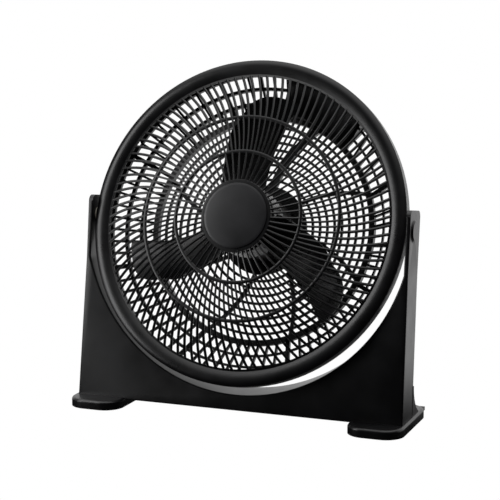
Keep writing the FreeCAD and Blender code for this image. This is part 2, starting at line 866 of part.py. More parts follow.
def housing_holes():
    """The screw holes, head pockets, pivot bores and lead port of the rear housing."""
    hole = screw_radius + screw_clearance
    place = around(guard_screw_radius, 0)
    passage = rod(hole, -rim_seam_set, guard_screw_seat + cut_overrun, place)
    pocket = rod(screw_head_radius + fit_clearance, guard_screw_seat, motor_plate_depth, place)
    tools = ring_of(passage, guard_screws_around, guard_screw_first_degrees)
    tools += ring_of(pocket, guard_screws_around, guard_screw_first_degrees)
    for place in control_screw_places():
        tools.append(rod(hole, box_rear_depth - screw_grip, box_rear_depth + cut_overrun, place))
    inner = pivot_boss_face_half - pivot_boss_length - cut_overrun
    for side in (-1, 1):
        bore = pivot_bolt_radius + running_clearance
        tools.append(axle(bore, inner, pivot_boss_face_half + cut_overrun, side))
    front, rear = plate_front_depth - cut_overrun, motor_plate_depth + cut_overrun
    mount = rod(hole, front, rear, around(mount_screw_circle, 0))
    tools += ring_of(mount, motor_bolts_around, mount_screw_first_degrees)
    cover_pilot = rod(hole, front, rear, around(cover_screw_circle, 0))
    tools += ring_of(cover_pilot, cover_screws_around, cover_screw_first_degrees)
    port = around(motor_plate_radius - 2 * leads_width, strut_degrees(motor_plate_radius))
    return tools + [rod(leads_width / 2, front, rear, port)]


def build_rear_housing():
    """The drum, rear guard, motor plate, control box and bosses, as one moulding."""
    box, space = control_box()
    boss = rod(guard_screw_boss_radius, 0, guard_screw_seat, around(guard_screw_radius, 0))
    screw_bosses = ring_of(boss, guard_screws_around, guard_screw_first_degrees)
    shell = joined([housing_shell(), box] + screw_bosses).cut(space)
    shell = joined([shell] + housing_bosses())
    return on_head(without(shell, housing_openings() + housing_holes()))


def strut_band(inner_rise, outer_rise):
    """A turned skin over the back of the rear guard, between the motor plate and the strong ring."""
    near, far = motor_plate_radius, strong_ring_radius
    steps = [(at(far, strong_ring_depth + inner_rise),), (at(far, strong_ring_depth + outer_rise),)]
    steps += [(at(near, motor_plate_depth + outer_rise),)]
    return turned(at(near, motor_plate_depth + inner_rise), steps)


def strut_prism(width):
    """The thick strut drawn out through the rear guard, at some width."""
    inner = cover_radius + fit_clearance
    face = strut_face(width, inner, box_inner_radius - fit_clearance)
    return prism(face, drum_rear_depth, motor_plate_depth + channel_height + cut_overrun)


def build_wire_channel_cover():
    """The cover strip over the leads, along the back of the thick strut."""
    strip = strut_prism(channel_width).common(strut_band(0, channel_height))
    groove_band = strut_band(-cut_overrun, leads_height + fit_clearance)
    groove = strut_prism(leads_width + fit_clearance).common(groove_band)
    return on_head(strip.cut(groove))


def build_motor_leads():
    """The flat bundle of leads from the switch to the motor."""
    return on_head(strut_prism(leads_width).common(strut_band(0, leads_height)))


def build_control_cover():
    """The plate over the back of the control box."""
    rear = box_rear_depth + control_cover_thickness
    plate = sector(box_inner_radius, box_outer_radius, box_half_degrees, box_rear_depth, rear)
    low, high = box_rear_depth - cut_overrun, rear + cut_overrun
    tools = [rod(screw_radius + screw_clearance, low, high, place) for place in control_screw_places()]
    tools.append(rod(switch_bush_radius + fit_clearance, low, high, knob_place()))
    tools.append(rod(gland_radius + fit_clearance, low, high, gland_place()))
    return on_head(without(plate, tools))


def build_control_screws():
    """The screws of the control cover."""
    seat = box_rear_depth + control_cover_thickness
    screws = [screw(seat, screw_grip, place) for place in control_screw_places()]
    return on_head(Part.makeCompound(screws))


def knob_place():
    """The middle of the speed knob on the control cover."""
    return around(knob_circle_radius, strut_end_degrees)


def gland_place():
    """The middle of the cord gland on the control cover."""
    return around(knob_circle_radius, strut_end_degrees + gland_degrees)


def build_cord_gland():
    """The rubber gland that a mains cord would enter by."""
    seat = box_rear_depth + control_cover_thickness
    flange = rod(gland_flange_radius, seat, seat + gland_flange_height, gland_place())
    neck = rod(gland_radius, box_rear_depth - gland_flange_height, seat, gland_place())
    high = seat + gland_flange_height + cut_overrun
    bore = rod(gland_bore_radius, box_front_depth, high, gland_place())
    return on_head(joined([flange, neck]).cut(bore))


def build_speed_switch():
    """The rotary switch behind the control cover."""
    half = switch_width / 2
    corner = Vector(-half, box_rear_depth - switch_depth, -half)
    body = Part.makeBox(switch_width, switch_depth, switch_width, corner)
    bush = rod(switch_bush_radius, box_rear_depth, box_rear_depth + switch_bush_height)
    bore = rod(switch_shaft_radius + running_clearance, box_front_depth, box_rear_depth + cut_overrun)
    one = joined([body, bush]).cut(bore)
    one.translate(flat(knob_circle_radius, 0))
    return on_head(spin(one, strut_end_degrees))


def build_switch_shaft():
    """The switch's shaft, which turns with the knob."""
    rear = knob_rear_depth - knob_grip_height
    return on_head(rod(switch_shaft_radius, rear - switch_shaft_length, rear, knob_place()))


def build_speed_knob():
    """The speed knob with its raised grip bar."""
    base = knob_rear_depth - knob_grip_height
    seat = Vector(0, knob_seat_depth, 0)
    disc = Part.makeCone(knob_radius, knob_top_radius, base - knob_seat_depth, seat, Vector(0, 1, 0))
    corner = Vector(-knob_top_radius, base - running_clearance, -knob_grip_width / 2)
    bar = Part.makeBox(2 * knob_top_radius, knob_grip_height + running_clearance, knob_grip_width, corner)
    bar = bar.common(rod(knob_top_radius, base - cut_overrun, knob_rear_depth + cut_overrun))
    bore = rod(switch_shaft_radius + running_clearance, knob_seat_depth - cut_overrun, base)
    one = joined([disc, bar]).cut(bore)
    one.translate(flat(knob_circle_radius, 0))
    return on_head(spin(one, strut_end_degrees))


def motor_bolt_holes():
    """The bores of the long bolts through the motor."""
    front = bracket_front_depth - cut_overrun
    place = around(motor_bolt_circle, 0)
    hole = rod(motor_bolt_radius + screw_clearance, front, motor_plate_depth, place)
    return ring_of(hole, motor_bolts_around)


def bracket(face, inward):
    """One of the motor's end brackets; face is its outer plane and inward points to the stator."""
    floor = face + inward * bracket_wall
    rim = face + inward * bracket_depth
    hub = face + inward * (bush_length + bracket_wall)
    wall = stator_radius - bracket_wall
    bore = bush_radius + screw_clearance / 2
    steps = [(at(stator_radius, face),), (at(stator_radius, rim),), (at(wall, rim),), (at(wall, floor),)]
    steps += [(at(bracket_hub_radius, floor),), (at(bracket_hub_radius, hub),), (at(bore, hub),)]
    return turned(at(bore, face), steps)


def build_motor_rear_bracket():
    """The motor's rear end bracket, which seats on the motor plate."""
    place = around(mount_screw_circle, 0)
    mount = rod(screw_radius + screw_clearance, stator_rear_depth, motor_plate_depth, place)
    holes = motor_bolt_holes() + ring_of(mount, motor_bolts_around, mount_screw_first_degrees)
    return on_head(without(bracket(plate_front_depth, -1), holes))


def build_motor_front_bracket():
    """The motor's front end bracket."""
    return on_head(without(bracket(bracket_front_depth, 1), motor_bolt_holes()))


def build_motor_stator():
    """The laminated stator with its winding slots."""
    stack = rod(stator_radius, stator_front_depth, stator_rear_depth)
    front = stator_front_depth - cut_overrun
    tools = [rod(stator_bore_radius, front, stator_rear_depth + cut_overrun)]
    corner = Vector(stator_bore_radius + air_gap, front, -stator_slot_width / 2)
    slot = Part.makeBox(stator_slot_depth, stator_length + 2 * cut_overrun, stator_slot_width, corner)
    half_pitch = 180.0 / stator_slots
    tools += ring_of(slot, stator_slots, half_pitch) + motor_bolt_holes()
    return on_head(without(stack, tools))


def build_motor_windings():
    """The copper end turns on both faces of the stator."""
    def end_turn(front, rear):
        bore = rod(winding_inner_radius, front - cut_overrun, rear + cut_overrun)
        return rod(winding_outer_radius, front, rear).cut(bore)
    ends = [end_turn(stator_front_depth - winding_height, stator_front_depth),
            end_turn(stator_rear_depth, stator_rear_depth + winding_height)]
    return on_head(Part.makeCompound(ends))


def build_motor_bushes():
    """The two sintered bushes that carry the shaft."""
    def bush(front):
        bore = rod(shaft_radius + running_clearance, front - cut_overrun, front + bush_length + cut_overrun)
        return rod(bush_radius, front, front + bush_length).cut(bore)
    rear = bush(plate_front_depth - bracket_wall - bush_length)
    return on_head(Part.makeCompound([bush(bracket_front_depth + bracket_wall), rear]))


def build_motor_bolts():
    """The long bolts that clamp the motor together."""
    place = around(motor_bolt_circle, 0)
    seat = bracket_front_depth
    head = rod(motor_bolt_head_radius, seat - motor_bolt_head_height, seat, place)
    shank = rod(motor_bolt_radius, seat, plate_front_depth, place)
    return on_head(Part.makeCompound(ring_of(joined([head, shank]), motor_bolts_around)))


def build_motor_mount_screws():
    """The screws through the motor plate into the rear bracket."""
    one = screw(motor_plate_depth, housing_wall + bracket_wall, around(mount_screw_circle, 0))
    return on_head(Part.makeCompound(ring_of(one, motor_bolts_around, mount_screw_first_degrees)))


def build_capacitor():
    """The run capacitor behind the motor plate."""
    corner = Vector(-capacitor_width / 2, motor_plate_depth, -capacitor_drop - capacitor_height / 2)
    return on_head(Part.makeBox(capacitor_width, capacitor_depth, capacitor_height, corner))


def build_motor_cover():
    """The vented cover over the back of the motor plate."""
    front, rear = motor_plate_depth, motor_plate_depth + cover_depth
    shoulder = rear - cover_depth / 2
    wall = cover_wall
    place = around(cover_screw_circle, 0)
    steps = [(at(cover_radius, front),), (at(cover_radius, shoulder),), (at(cover_top_radius, rear),)]
    steps += [(at(0, rear),), (at(0, rear - wall),), (at(cover_top_radius - wall, rear - wall),)]
    steps += [(at(cover_radius - wall, shoulder),)]
    cup = turned(at(cover_radius - wall, front), steps)
    boss = rod(cover_boss_radius, front, rear - wall / 2, place)
    cup = joined([cup] + ring_of(boss, cover_screws_around, cover_screw_first_degrees))
    hole = rod(screw_radius + screw_clearance, front - cut_overrun, rear + cut_overrun, place)
    corner = Vector(cover_slot_inner_radius, rear - wall - cut_overrun, -cover_slot_width / 2)
    slot_length = cover_slot_outer_radius - cover_slot_inner_radius
    slot = Part.makeBox(slot_length, wall + 2 * cut_overrun, cover_slot_width, corner)
    tools = ring_of(hole, cover_screws_around, cover_screw_first_degrees) + ring_of(slot, cover_slots)
    return on_head(without(cup, tools))


def build_motor_cover_screws():
    """The screws through the motor cover into the motor plate."""
    place = around(cover_screw_circle, 0)
    one = screw(motor_plate_depth + cover_depth, cover_depth + housing_wall, place)
    return on_head(Part.makeCompound(ring_of(one, cover_screws_around, cover_screw_first_degrees)))


def hub_boss_rear():
    """The depth of the hub boss's rear end, just ahead of the drive pin."""
    return hub_rear_depth - hub_wall


def build_motor_shaft():
    """The motor shaft with its cross hole for the drive pin."""
    front = -hub_front_set - nut_height + nut_end_wall + fit_clearance
    shaft = rod(shaft_radius, front, motor_plate_depth - shaft_rear_over)
    return on_head(shaft.cut(drive_pin(pin_radius + running_clearance)))


def drive_pin(radius):
    """A pin across the shaft, just behind the hub boss."""
    middle = hub_boss_rear() + pin_radius + running_clearance
    return Part.makeCylinder(radius, pin_length, Vector(-pin_length / 2, middle, 0), Vector(1, 0, 0))


def build_drive_pin():
    """The cross pin that drives the fan wheel."""
    return on_head(drive_pin(pin_radius))


def build_rotor_core():
    """The rotor on the shaft, inside the stator."""
    trim = rotor_shortfall / 2
    core = rod(stator_bore_radius - air_gap, stator_front_depth + trim, stator_rear_depth - trim)
    bore = rod(shaft_radius + running_clearance / 2, stator_front_depth, stator_rear_depth)
    return on_head(core.cut(bore))


def blade_section(station, chord, pitch_degrees, depth):
    """The curved section of a blade at one radius, its right edge to the rear."""
    pitch = math.radians(pitch_degrees)
    along = Vector(math.cos(pitch), math.sin(pitch), 0)
    across = Vector(-math.sin(pitch), math.cos(pitch), 0)
    middle = Vector(0, depth, station)
    bow = across * (blade_camber_share * chord)
    skin = across * blade_thickness
    first, last = middle - along * (chord / 2), middle + along * (chord / 2)
    rear = Part.Arc(first, middle + bow, last).toShape()
    front = Part.Arc(last - skin, middle + bow - skin, first - skin).toShape()
    right_edge = Part.LineSegment(last, last - skin).toShape()
    left_edge = Part.LineSegment(first - skin, first).toShape()
    return Part.Wire([rear, right_edge, front, left_edge])


def tip_corner(corner, side):
    """One rounded corner of an upright blade: its start at the side, its bend and its end at the tip."""
    reach = blade_tip_half_width - corner
    centre = flat(side * reach, math.sqrt((wheel_radius - corner) ** 2 - reach ** 2))
    outward = Vector(centre).normalize()
    between = (outward + flat(side, 0)).normalize()
    return centre + flat(side * corner, 0), centre + between * corner, outward * wheel_radius


def blade_plan():
    """The outline of an upright blade seen from the front: an arc at the tip with two rounded corners."""
    right, left = blade_tip_rounds
    right_side, right_bend, right_tip = tip_corner(right, 1)
    left_side, left_bend, left_tip = tip_corner(left, -1)
    crown = (right_tip + left_tip).normalize() * wheel_radius
    root = flat(blade_root_half_width, 0)
    steps = [(right_side,), (right_bend, right_tip), (crown, left_tip)]
    steps += [(left_bend, left_side), (root * -1,)]
    return face_of(root, steps)


def build_fan_wheel():
    """The hub and its three broad twisted blades, as one moulding."""
    sections = map(blade_section, blade_stations, blade_chords, blade_pitches_degrees, blade_depths)
    blade = Part.makeLoft([spin(*pair) for pair in zip(sections, blade_sweeps_degrees)], True)
    plan = prism(blade_plan(), -guard_apex_set, motor_plate_depth)
    blade = blade.common(spin(plan, blade_sweeps_degrees[-1]))
    front = -hub_front_set
    floor = front + hub_wall
    wall = hub_radius - hub_wall
    bore = shaft_radius + running_clearance / 2
    boss_rear = hub_boss_rear()
    steps = [(at(wall, front),), (at(hub_radius, floor),), (at(hub_radius, hub_rear_depth),)]
    steps += [(at(wall, hub_rear_depth),), (at(wall, floor),), (at(hub_boss_radius, floor),)]
    steps += [(at(hub_boss_radius, boss_rear),), (at(bore, boss_rear),)]
    hub = turned(at(bore, front), steps)
    inside = rod(hub_radius - hub_wall / 2, -guard_apex_set, motor_plate_depth)
    level_blade = spin(blade, -90.0).cut(inside)
    return on_head(joined([hub] + ring_of(level_blade, blade_count, blade_first_degrees)))


def build_blade_nut():
    """The cap nut that holds the fan wheel on the shaft."""
    seat = -hub_front_set
    nose = seat - nut_height
    steps = [(at(nut_radius, seat),), (at(nut_radius, seat - nut_height / 2),)]
    steps += [(at(nut_nose_radius, nose),), (at(0, nose),)]
    body = turned(at(0, seat), steps)
    bore = rod(shaft_radius + running_clearance / 2, nose + nut_end_wall, seat + cut_overrun)
    return on_head(body.cut(bore))


def build_all():
    """Every piece of the fan by its name."""
    return {
        "stand_front_shell": build_stand_front_shell(),
        "stand_rear_shell": build_stand_rear_shell(),
        "stand_screws": build_stand_screws(),
        "left_foot": build_foot(-1),
        "right_foot": build_foot(1),
        "foot_pads": build_foot_pads(),
        "foot_screws": build_foot_screws(),
        "left_pivot_cover": build_pivot_cover(-1),
        "right_pivot_cover": build_pivot_cover(1),
        "pivot_washers": build_pivot_washers(),
        "pivot_bolts": build_pivot_bolts(),
        "front_guard": build_front_guard(),
        "guard_cap": build_guard_cap(),
        "guard_screws": build_guard_screws(),
        "rear_housing": build_rear_housing(),
        "wire_channel_cover": build_wire_channel_cover(),
        "motor_leads": build_motor_leads(),
        "control_cover": build_control_cover(),
        "control_screws": build_control_screws(),
        "cord_gland": build_cord_gland(),
        "speed_switch": build_speed_switch(),
        "switch_shaft": build_switch_shaft(),
        "speed_knob": build_speed_knob(),
        "motor_rear_bracket": build_motor_rear_bracket(),
        "motor_front_bracket": build_motor_front_bracket(),
        "motor_stator": build_motor_stator(),
        "motor_windings": build_motor_windings(),
        "motor_bushes": build_motor_bushes(),
        "motor_bolts": build_motor_bolts(),
        "motor_mount_screws": build_motor_mount_screws(),
        "capacitor": build_capacitor(),
        "motor_cover": build_motor_cover(),
        "motor_cover_screws": build_motor_cover_screws(),
        "motor_shaft": build_motor_shaft(),
        "drive_pin": build_drive_pin(),
        "rotor_core": build_rotor_core(),
        "fan_wheel": build_fan_wheel(),
        "blade_nut": build_blade_nut(),
    }


def main():
    """Builds every piece and writes it to its own file."""
    os.makedirs("parts", exist_ok=True)
    for name, shape in build_all().items():
        shape.exportStep(os.path.join("parts", name + ".step"))
        print(name, len(shape.Solids), round(shape.Volume / 1000, 2), shape.isValid())


main()
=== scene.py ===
"""Looks of a free-standing floor fan, dressed over its packed construction model."""

import json
import logging
import math
from dataclasses import dataclass
from enum import Enum
from typing import Any, Callable, Optional, Sequence

import bmesh
import bpy
from mathutils import Matrix, Vector


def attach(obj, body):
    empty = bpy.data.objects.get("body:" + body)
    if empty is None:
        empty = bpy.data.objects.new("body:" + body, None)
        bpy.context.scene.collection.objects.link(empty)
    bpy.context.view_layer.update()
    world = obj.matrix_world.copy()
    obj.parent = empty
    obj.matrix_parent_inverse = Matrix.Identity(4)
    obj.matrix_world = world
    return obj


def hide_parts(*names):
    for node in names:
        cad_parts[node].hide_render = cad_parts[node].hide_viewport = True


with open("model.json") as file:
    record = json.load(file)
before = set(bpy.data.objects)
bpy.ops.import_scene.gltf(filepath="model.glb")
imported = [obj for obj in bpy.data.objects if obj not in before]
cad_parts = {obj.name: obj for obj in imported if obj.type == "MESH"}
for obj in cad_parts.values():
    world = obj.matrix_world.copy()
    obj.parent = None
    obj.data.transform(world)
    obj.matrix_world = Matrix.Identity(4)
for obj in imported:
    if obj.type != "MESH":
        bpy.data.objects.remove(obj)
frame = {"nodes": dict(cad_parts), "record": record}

log = logging.getLogger("floor_fan")

# Sizes of the fan are in millimetres. The studio's distances are in metres.
MM = 0.001
PIVOT_HEIGHT = 261.0
MIDDLE_SHIFT = -24.2647
HEAD_TILT_DEGREES = 18.0
STAND_LEAN_DEGREES = 7.6
SHARP_DEGREES = 35.0

# Radius and depth of a point on the section of a turned shape.
SectionPoint = tuple[float, float]


class Body(Enum):
    """The bodies that pieces ride on."""

    STAND = "stand"
    HEAD = "head"
    ROTOR = "rotor"
    KNOB = "knob"


def linear(code: str) -> tuple[float, ...]:
    """Turns an sRGB hex colour into the linear values that a shader takes.

    Args:
        code: A colour such as "#1a2b3c".

    Returns:
        Red, green, blue and a full alpha.
    """
    levels = [int(code[place:place + 2], 16) / 255 for place in (1, 3, 5)]
    # The sRGB curve has a straight foot and a power of 2.4 above it.
    return tuple(v / 12.92 if v <= 0.04045 else ((v + 0.055) / 1.055) ** 2.4 for v in levels) + (1.0,)


def add(tree: bpy.types.NodeTree, kind: str, inputs: Optional[dict] = None,
        **settings: Any) -> bpy.types.Node:
    """Adds one node with its settings, values and links.

    Args:
        tree: The tree that gets the node.
        kind: The node's type name.
        inputs: For each input, by name or number, a value or the output that feeds it.
        **settings: The node's own properties.

    Returns:
        The new node.
    """
    node = tree.nodes.new(kind)
    for name, value in settings.items():
        setattr(node, name, value)
    for key, value in (inputs or {}).items():
        if isinstance(value, bpy.types.NodeSocket):
            tree.links.new(value, node.inputs[key])
        else:
            node.inputs[key].default_value = value
    return node


def tilted(degrees: float) -> Matrix:
    """Gives the place of a sub-assembly that leans back about the pivot.

    Args:
        degrees: How far it leans back.

    Returns:
        A matrix from millimetres about the pivot to metres in the shared frame.
    """
    pivot = Matrix.Translation((0, MIDDLE_SHIFT * MM, PIVOT_HEIGHT * MM))
    return pivot @ Matrix.Rotation(-math.radians(degrees), 4, "X") @ Matrix.Scale(MM, 4)


HEAD_PLACE = tilted(HEAD_TILT_DEGREES)
STAND_PLACE = tilted(STAND_LEAN_DEGREES)


@dataclass(frozen=True)
class Finish:
    """A surface: its colours, how it scatters light, and the grain that its making leaves."""

    name: str
    colour: str
    shade: str
    roughness: tuple[float, float]
    metallic: float = 0.0
    ior: float = 1.5
    mottle_mm: float = 40.0
    grain_mm: float = 1.6
    grain_height_mm: float = 0.05
    bump: float = 0.25
    noise_low: float = 0.3
    noise_high: float = 0.7
    grain_detail: float = 2.0
    mottle_detail: float = 4.0
    mottle_roughness: float = 0.6

    def grain(self, tree: bpy.types.NodeTree, place: bpy.types.NodeSocket) -> bpy.types.NodeSocket:
        """Draws the relief of the surface.

        Args:
            tree: The material's node tree.
            place: The coordinates that the pattern follows.

        Returns:
            The output that gives the height.
        """
        noise = add(tree, "ShaderNodeTexNoise",
                    {"Vector": place, "Scale": 1 / (self.grain_mm * MM), "Detail": self.grain_detail})
        return noise.outputs["Fac"]

    def material(self) -> bpy.types.Material:
        """Builds the material.

        Returns:
            A node material with mottled colour, uneven gloss and relief.
        """
        made = bpy.data.materials.new(self.name)
        made.use_nodes = True
        tree = made.node_tree
        tree.nodes.clear()
        place = add(tree, "ShaderNodeTexCoord").outputs["Object"]
        mottle = add(tree, "ShaderNodeTexNoise",
                     {"Vector": place, "Scale": 1 / (self.mottle_mm * MM), "Detail": self.mottle_detail,
                      "Roughness": self.mottle_roughness})
        patches = {"Value": mottle.outputs["Fac"], "From Min": self.noise_low, "From Max": self.noise_high}
        spread = add(tree, "ShaderNodeMapRange", patches)
        # The mix takes its two colours at inputs 6 and 7 and gives the result at output 2.
        blend = {0: spread.outputs[0], 6: linear(self.colour), 7: linear(self.shade)}
        colour = add(tree, "ShaderNodeMix", blend, data_type="RGBA")
        low, high = self.roughness
        gloss = add(tree, "ShaderNodeMapRange", {**patches, "To Min": low, "To Max": high})
        relief = add(tree, "ShaderNodeBump", {"Height": self.grain(tree, place), "Strength": self.bump,
                                              "Distance": self.grain_height_mm * MM})
        skin = add(tree, "ShaderNodeBsdfPrincipled",
                   {"Base Color": colour.outputs[2], "Roughness": gloss.outputs[0], "Metallic": self.metallic,
                    "IOR": self.ior, "Normal": relief.outputs[0]})
        add(tree, "ShaderNodeOutputMaterial", {"Surface": skin.outputs[0]})
        return made


@dataclass(frozen=True)
class Pitted(Finish):
    """A surface with fine pits, as rubber and sintered metal have."""

    def grain(self, tree: bpy.types.NodeTree, place: bpy.types.NodeSocket) -> bpy.types.NodeSocket:
        """Draws close-set pits and gives their height."""
        pits = add(tree, "ShaderNodeTexVoronoi", {"Vector": place, "Scale": 1 / (self.grain_mm * MM)})
        return pits.outputs["Distance"]


@dataclass(frozen=True)
class TurnedMetal(Finish):
    """Metal with the fine lines of turning or drawing, stretched along one axis."""

    stretch: float = 12.0
    scratch_detail: float = 3.0

    def grain(self, tree: bpy.types.NodeTree, place: bpy.types.NodeSocket) -> bpy.types.NodeSocket:
        """Draws long scratches.

        Args:
            tree: The material's node tree.
            place: The coordinates that the pattern follows.

        Returns:
            The output that gives the height.
        """
        scale = 1 / (self.grain_mm * MM)
        drawn_out = (scale / self.stretch, scale, scale)
        turned = add(tree, "ShaderNodeMapping", {"Vector": place, "Scale": drawn_out})
        noise = add(tree, "ShaderNodeTexNoise",
                    {"Vector": turned.outputs[0], "Scale": 1.0, "Detail": self.scratch_detail})
        return noise.outputs["Fac"]


@dataclass(frozen=True)
class Layered(Finish):
    """Sheets or strands side by side along the head's axis."""

    # A wave texture repeats after about this part of a unit at scale one.
    wave_repeat: float = 0.314
    unevenness: float = 0.4
    line_detail: float = 1.0

    def grain(self, tree: bpy.types.NodeTree, place: bpy.types.NodeSocket) -> bpy.types.NodeSocket:
        """Draws even lines one grain apart.

        Args:
            tree: The material's node tree.
            place: The coordinates that the pattern follows.

        Returns:
            The output that gives the height.
        """
        level = (math.radians(HEAD_TILT_DEGREES), 0, 0)
        along = add(tree, "ShaderNodeMapping", {"Vector": place, "Rotation": level})
        lines = add(tree, "ShaderNodeTexWave",
                    {"Vector": along.outputs[0], "Scale": self.wave_repeat / (self.grain_mm * MM),
                     "Distortion": self.unevenness, "Detail": self.line_detail}, bands_direction="Y")
        return lines.outputs["Fac"]


class Finishes:
    """The finishes of the fan, one for each material slot of the record."""

    # Black ABS, moulded with a fine spark-eroded grain: deep black with a broad satin sheen.
    # The real grain of about 0.1 mm is drawn coarser, so that it shows.
    BLACK_PLASTIC = Finish("black_ABS_satin", "#0b0b0c", "#101012", (0.30, 0.38), grain_mm=1.5, bump=0.18)
    # Black polypropylene from a polished mould: ribs carry thin bright lines.
    GUARD_PLASTIC = Finish("black_polypropylene", "#0a0a0b", "#0e0e10", (0.26, 0.34), grain_mm=2.5, bump=0.10)
    # Charcoal ABS with a satin face for the middle disc.
    CAP_PLASTIC = Finish("charcoal_ABS_satin", "#161618", "#1c1c1f", (0.34, 0.42), grain_mm=1.2, bump=0.15)
    # Black styrene-acrylonitrile blades from a polished mould: smooth with broad soft reflections.
    BLADE_PLASTIC = Finish("black_SAN_gloss", "#09090a", "#0d0d0e", (0.22, 0.30), ior=1.57,
                           grain_mm=6.0, bump=0.08)
    # Black ABS knob with a deeper grain for the fingers: a little duller than the shells.
    KNOB_PLASTIC = Finish("black_ABS_grained", "#0d0d0e", "#141416", (0.36, 0.44), grain_mm=1.1, bump=0.35)
    # Black rubber: matt and faintly dusty.
    BLACK_RUBBER = Pitted("moulded_rubber", "#131313", "#1d1c1b", (0.75, 0.88), ior=1.52,
                          grain_mm=1.4, bump=0.5)
    # Zinc-plated steel: bluish silver with fine draw marks.
    ZINC_STEEL = TurnedMetal("zinc_plated_steel", "#9fa3a8", "#b9bbb8", (0.28, 0.42), metallic=1.0,
                             mottle_mm=6.0, grain_mm=0.4, grain_height_mm=0.02)
    # Ground bright steel: round-ground lines and a hard shine.
    GROUND_STEEL = TurnedMetal("ground_steel", "#b4b5b8", "#c4c4c4", (0.16, 0.26), metallic=1.0,
                               mottle_mm=9.0, grain_mm=0.4, grain_height_mm=0.01)
    # Natural nylon: milky and waxy.
    NYLON = Finish("moulded_nylon", "#d8d2c2", "#e2dccd", (0.40, 0.52), ior=1.53, mottle_mm=8.0, bump=0.15)
    # Die-cast aluminium: pale grey with a flowing, faintly pitted skin.
    CAST_ALUMINIUM = Finish("die_cast_aluminium", "#8f9194", "#a3a4a6", (0.42, 0.58), metallic=1.0,
                            mottle_mm=14.0, grain_mm=1.0, bump=0.4)
    # Electrical steel sheets, stacked and varnished: dark grey with a fine stripe.
    # The 0.5 mm sheets are drawn 1.5 mm thick, so that they show.
    LAMINATED_STEEL = Layered("laminated_electrical_steel", "#4a4a4c", "#5f5c58", (0.38, 0.52), metallic=1.0,
                              mottle_mm=20.0, grain_mm=1.5, grain_height_mm=0.2, bump=0.6)
    # Enamelled copper wire, wound side by side: warm brown-orange with a lacquer shine.
    COPPER = Layered("enamelled_copper_wire", "#8a3f1d", "#a9572b", (0.22, 0.34), metallic=1.0,
                     mottle_mm=10.0, grain_mm=1.0, grain_height_mm=0.3, bump=0.7)
    # Sintered bronze: dull gold, open-pored and oily.
    BRONZE = Pitted("sintered_bronze", "#8b6a35", "#a07d45", (0.40, 0.55), metallic=1.0,
                    mottle_mm=6.0, grain_mm=0.7)
    # Off-white moulded body of switch and capacitor.
    SWITCH_PLASTIC = Finish("off_white_nylon", "#d6d3c8", "#dedbd2", (0.42, 0.55), mottle_mm=15.0, bump=0.15)
    # PVC sheath of the leads: dark, supple and slightly shiny.
    LEAD_SHEATH = Finish("pvc_lead_sheath", "#151516", "#1d1d1f", (0.36, 0.48), ior=1.53,
                         mottle_mm=12.0, bump=0.2)

    def __init__(self) -> None:
        """Builds the material of each slot."""
        finishes = {name.lower(): finish for name, finish in vars(Finishes).items()
                    if isinstance(finish, Finish)}
        self.made = {slot: finish.material() for slot, finish in finishes.items()}

    def __getitem__(self, slot: str) -> bpy.types.Material:
        """Gives the material of a slot."""
        return self.made[slot]


class Workshop:
    """Makes meshes into finished pieces of the fan."""

    def __init__(self, finishes: Finishes) -> None:
        """Keeps the finishes and finds each node's material slot in the record."""
        self.finishes = finishes
        self.node_slot = {entry["node"]: entry["material_slot"] for entry in frame["record"]["subparts"]}

    def dress_nodes(self) -> None:
        """Gives every node of the construction model its finish."""
        for name, node in frame["nodes"].items():
            node.data.materials.clear()
            node.data.materials.append(self.finishes[self.node_slot[name]])

    def piece(self, name: str, mesh: bpy.types.Mesh, body: Body, slot: str, stands_for: Sequence[str] = (),
              smooth_degrees: float = SHARP_DEGREES) -> bpy.types.Object:
        """Puts a finished mesh in the scene as one piece of a body.

        Args:
            name: The piece's name.
            mesh: Its mesh, already in place.
            body: The body that it rides on.
            slot: The material slot that it takes its finish from.
            stands_for: The nodes that it is shown in place of.
            smooth_degrees: The edge angle above which an edge stays sharp.

        Returns:
            The piece.
        """
        mesh.name = name
        mesh.materials.clear()
        mesh.materials.append(self.finishes[slot])
        mesh.shade_smooth()
        mesh.set_sharp_from_angle(angle=math.radians(smooth_degrees))
        made = scene_object(name, mesh)
        # Whole faces are parted into well-shaped triangles that keep the shading of the whole.
        parted = made.modifiers.new("triangles", "TRIANGULATE")
        parted.quad_method = "FIXED"
        parted.ngon_method = "BEAUTY"
        parted.keep_custom_normals = True
        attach(made, body.value)
        if stands_for:
            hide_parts(*stands_for)
        log.info("%s: %d faces on %s", name, len(mesh.polygons), body.value)
        return made


def mesh_of(shape: bmesh.types.BMesh, place: Optional[Matrix] = None) -> bpy.types.Mesh:
    """Turns a finished bmesh into a mesh in its place.

    Args:
        shape: The bmesh, which is freed.
        place: The matrix that puts it in the shared frame, if it isn't there yet.

    Returns:
        The mesh.
    """
    mesh = bpy.data.meshes.new("mesh")
    shape.to_mesh(mesh)
    shape.free()
    if place is not None:
        mesh.transform(place)
    return mesh


def node_copy(name: str) -> bmesh.types.BMesh:
    """Copies a node of the construction model as one joined surface.

    Args:
        name: The node's name.

    Returns:
        A bmesh with merged corners and whole flat faces.
    """
    same_place = 0.002 * MM
    flat_degrees = 0.3
    shape = bmesh.new()
    shape.from_mesh(frame["nodes"][name].data)
    bmesh.ops.remove_doubles(shape, verts=shape.verts, dist=same_place)
    bmesh.ops.dissolve_limit(shape, angle_limit=math.radians(flat_degrees), verts=shape.verts,
                             edges=shape.edges)
    return shape


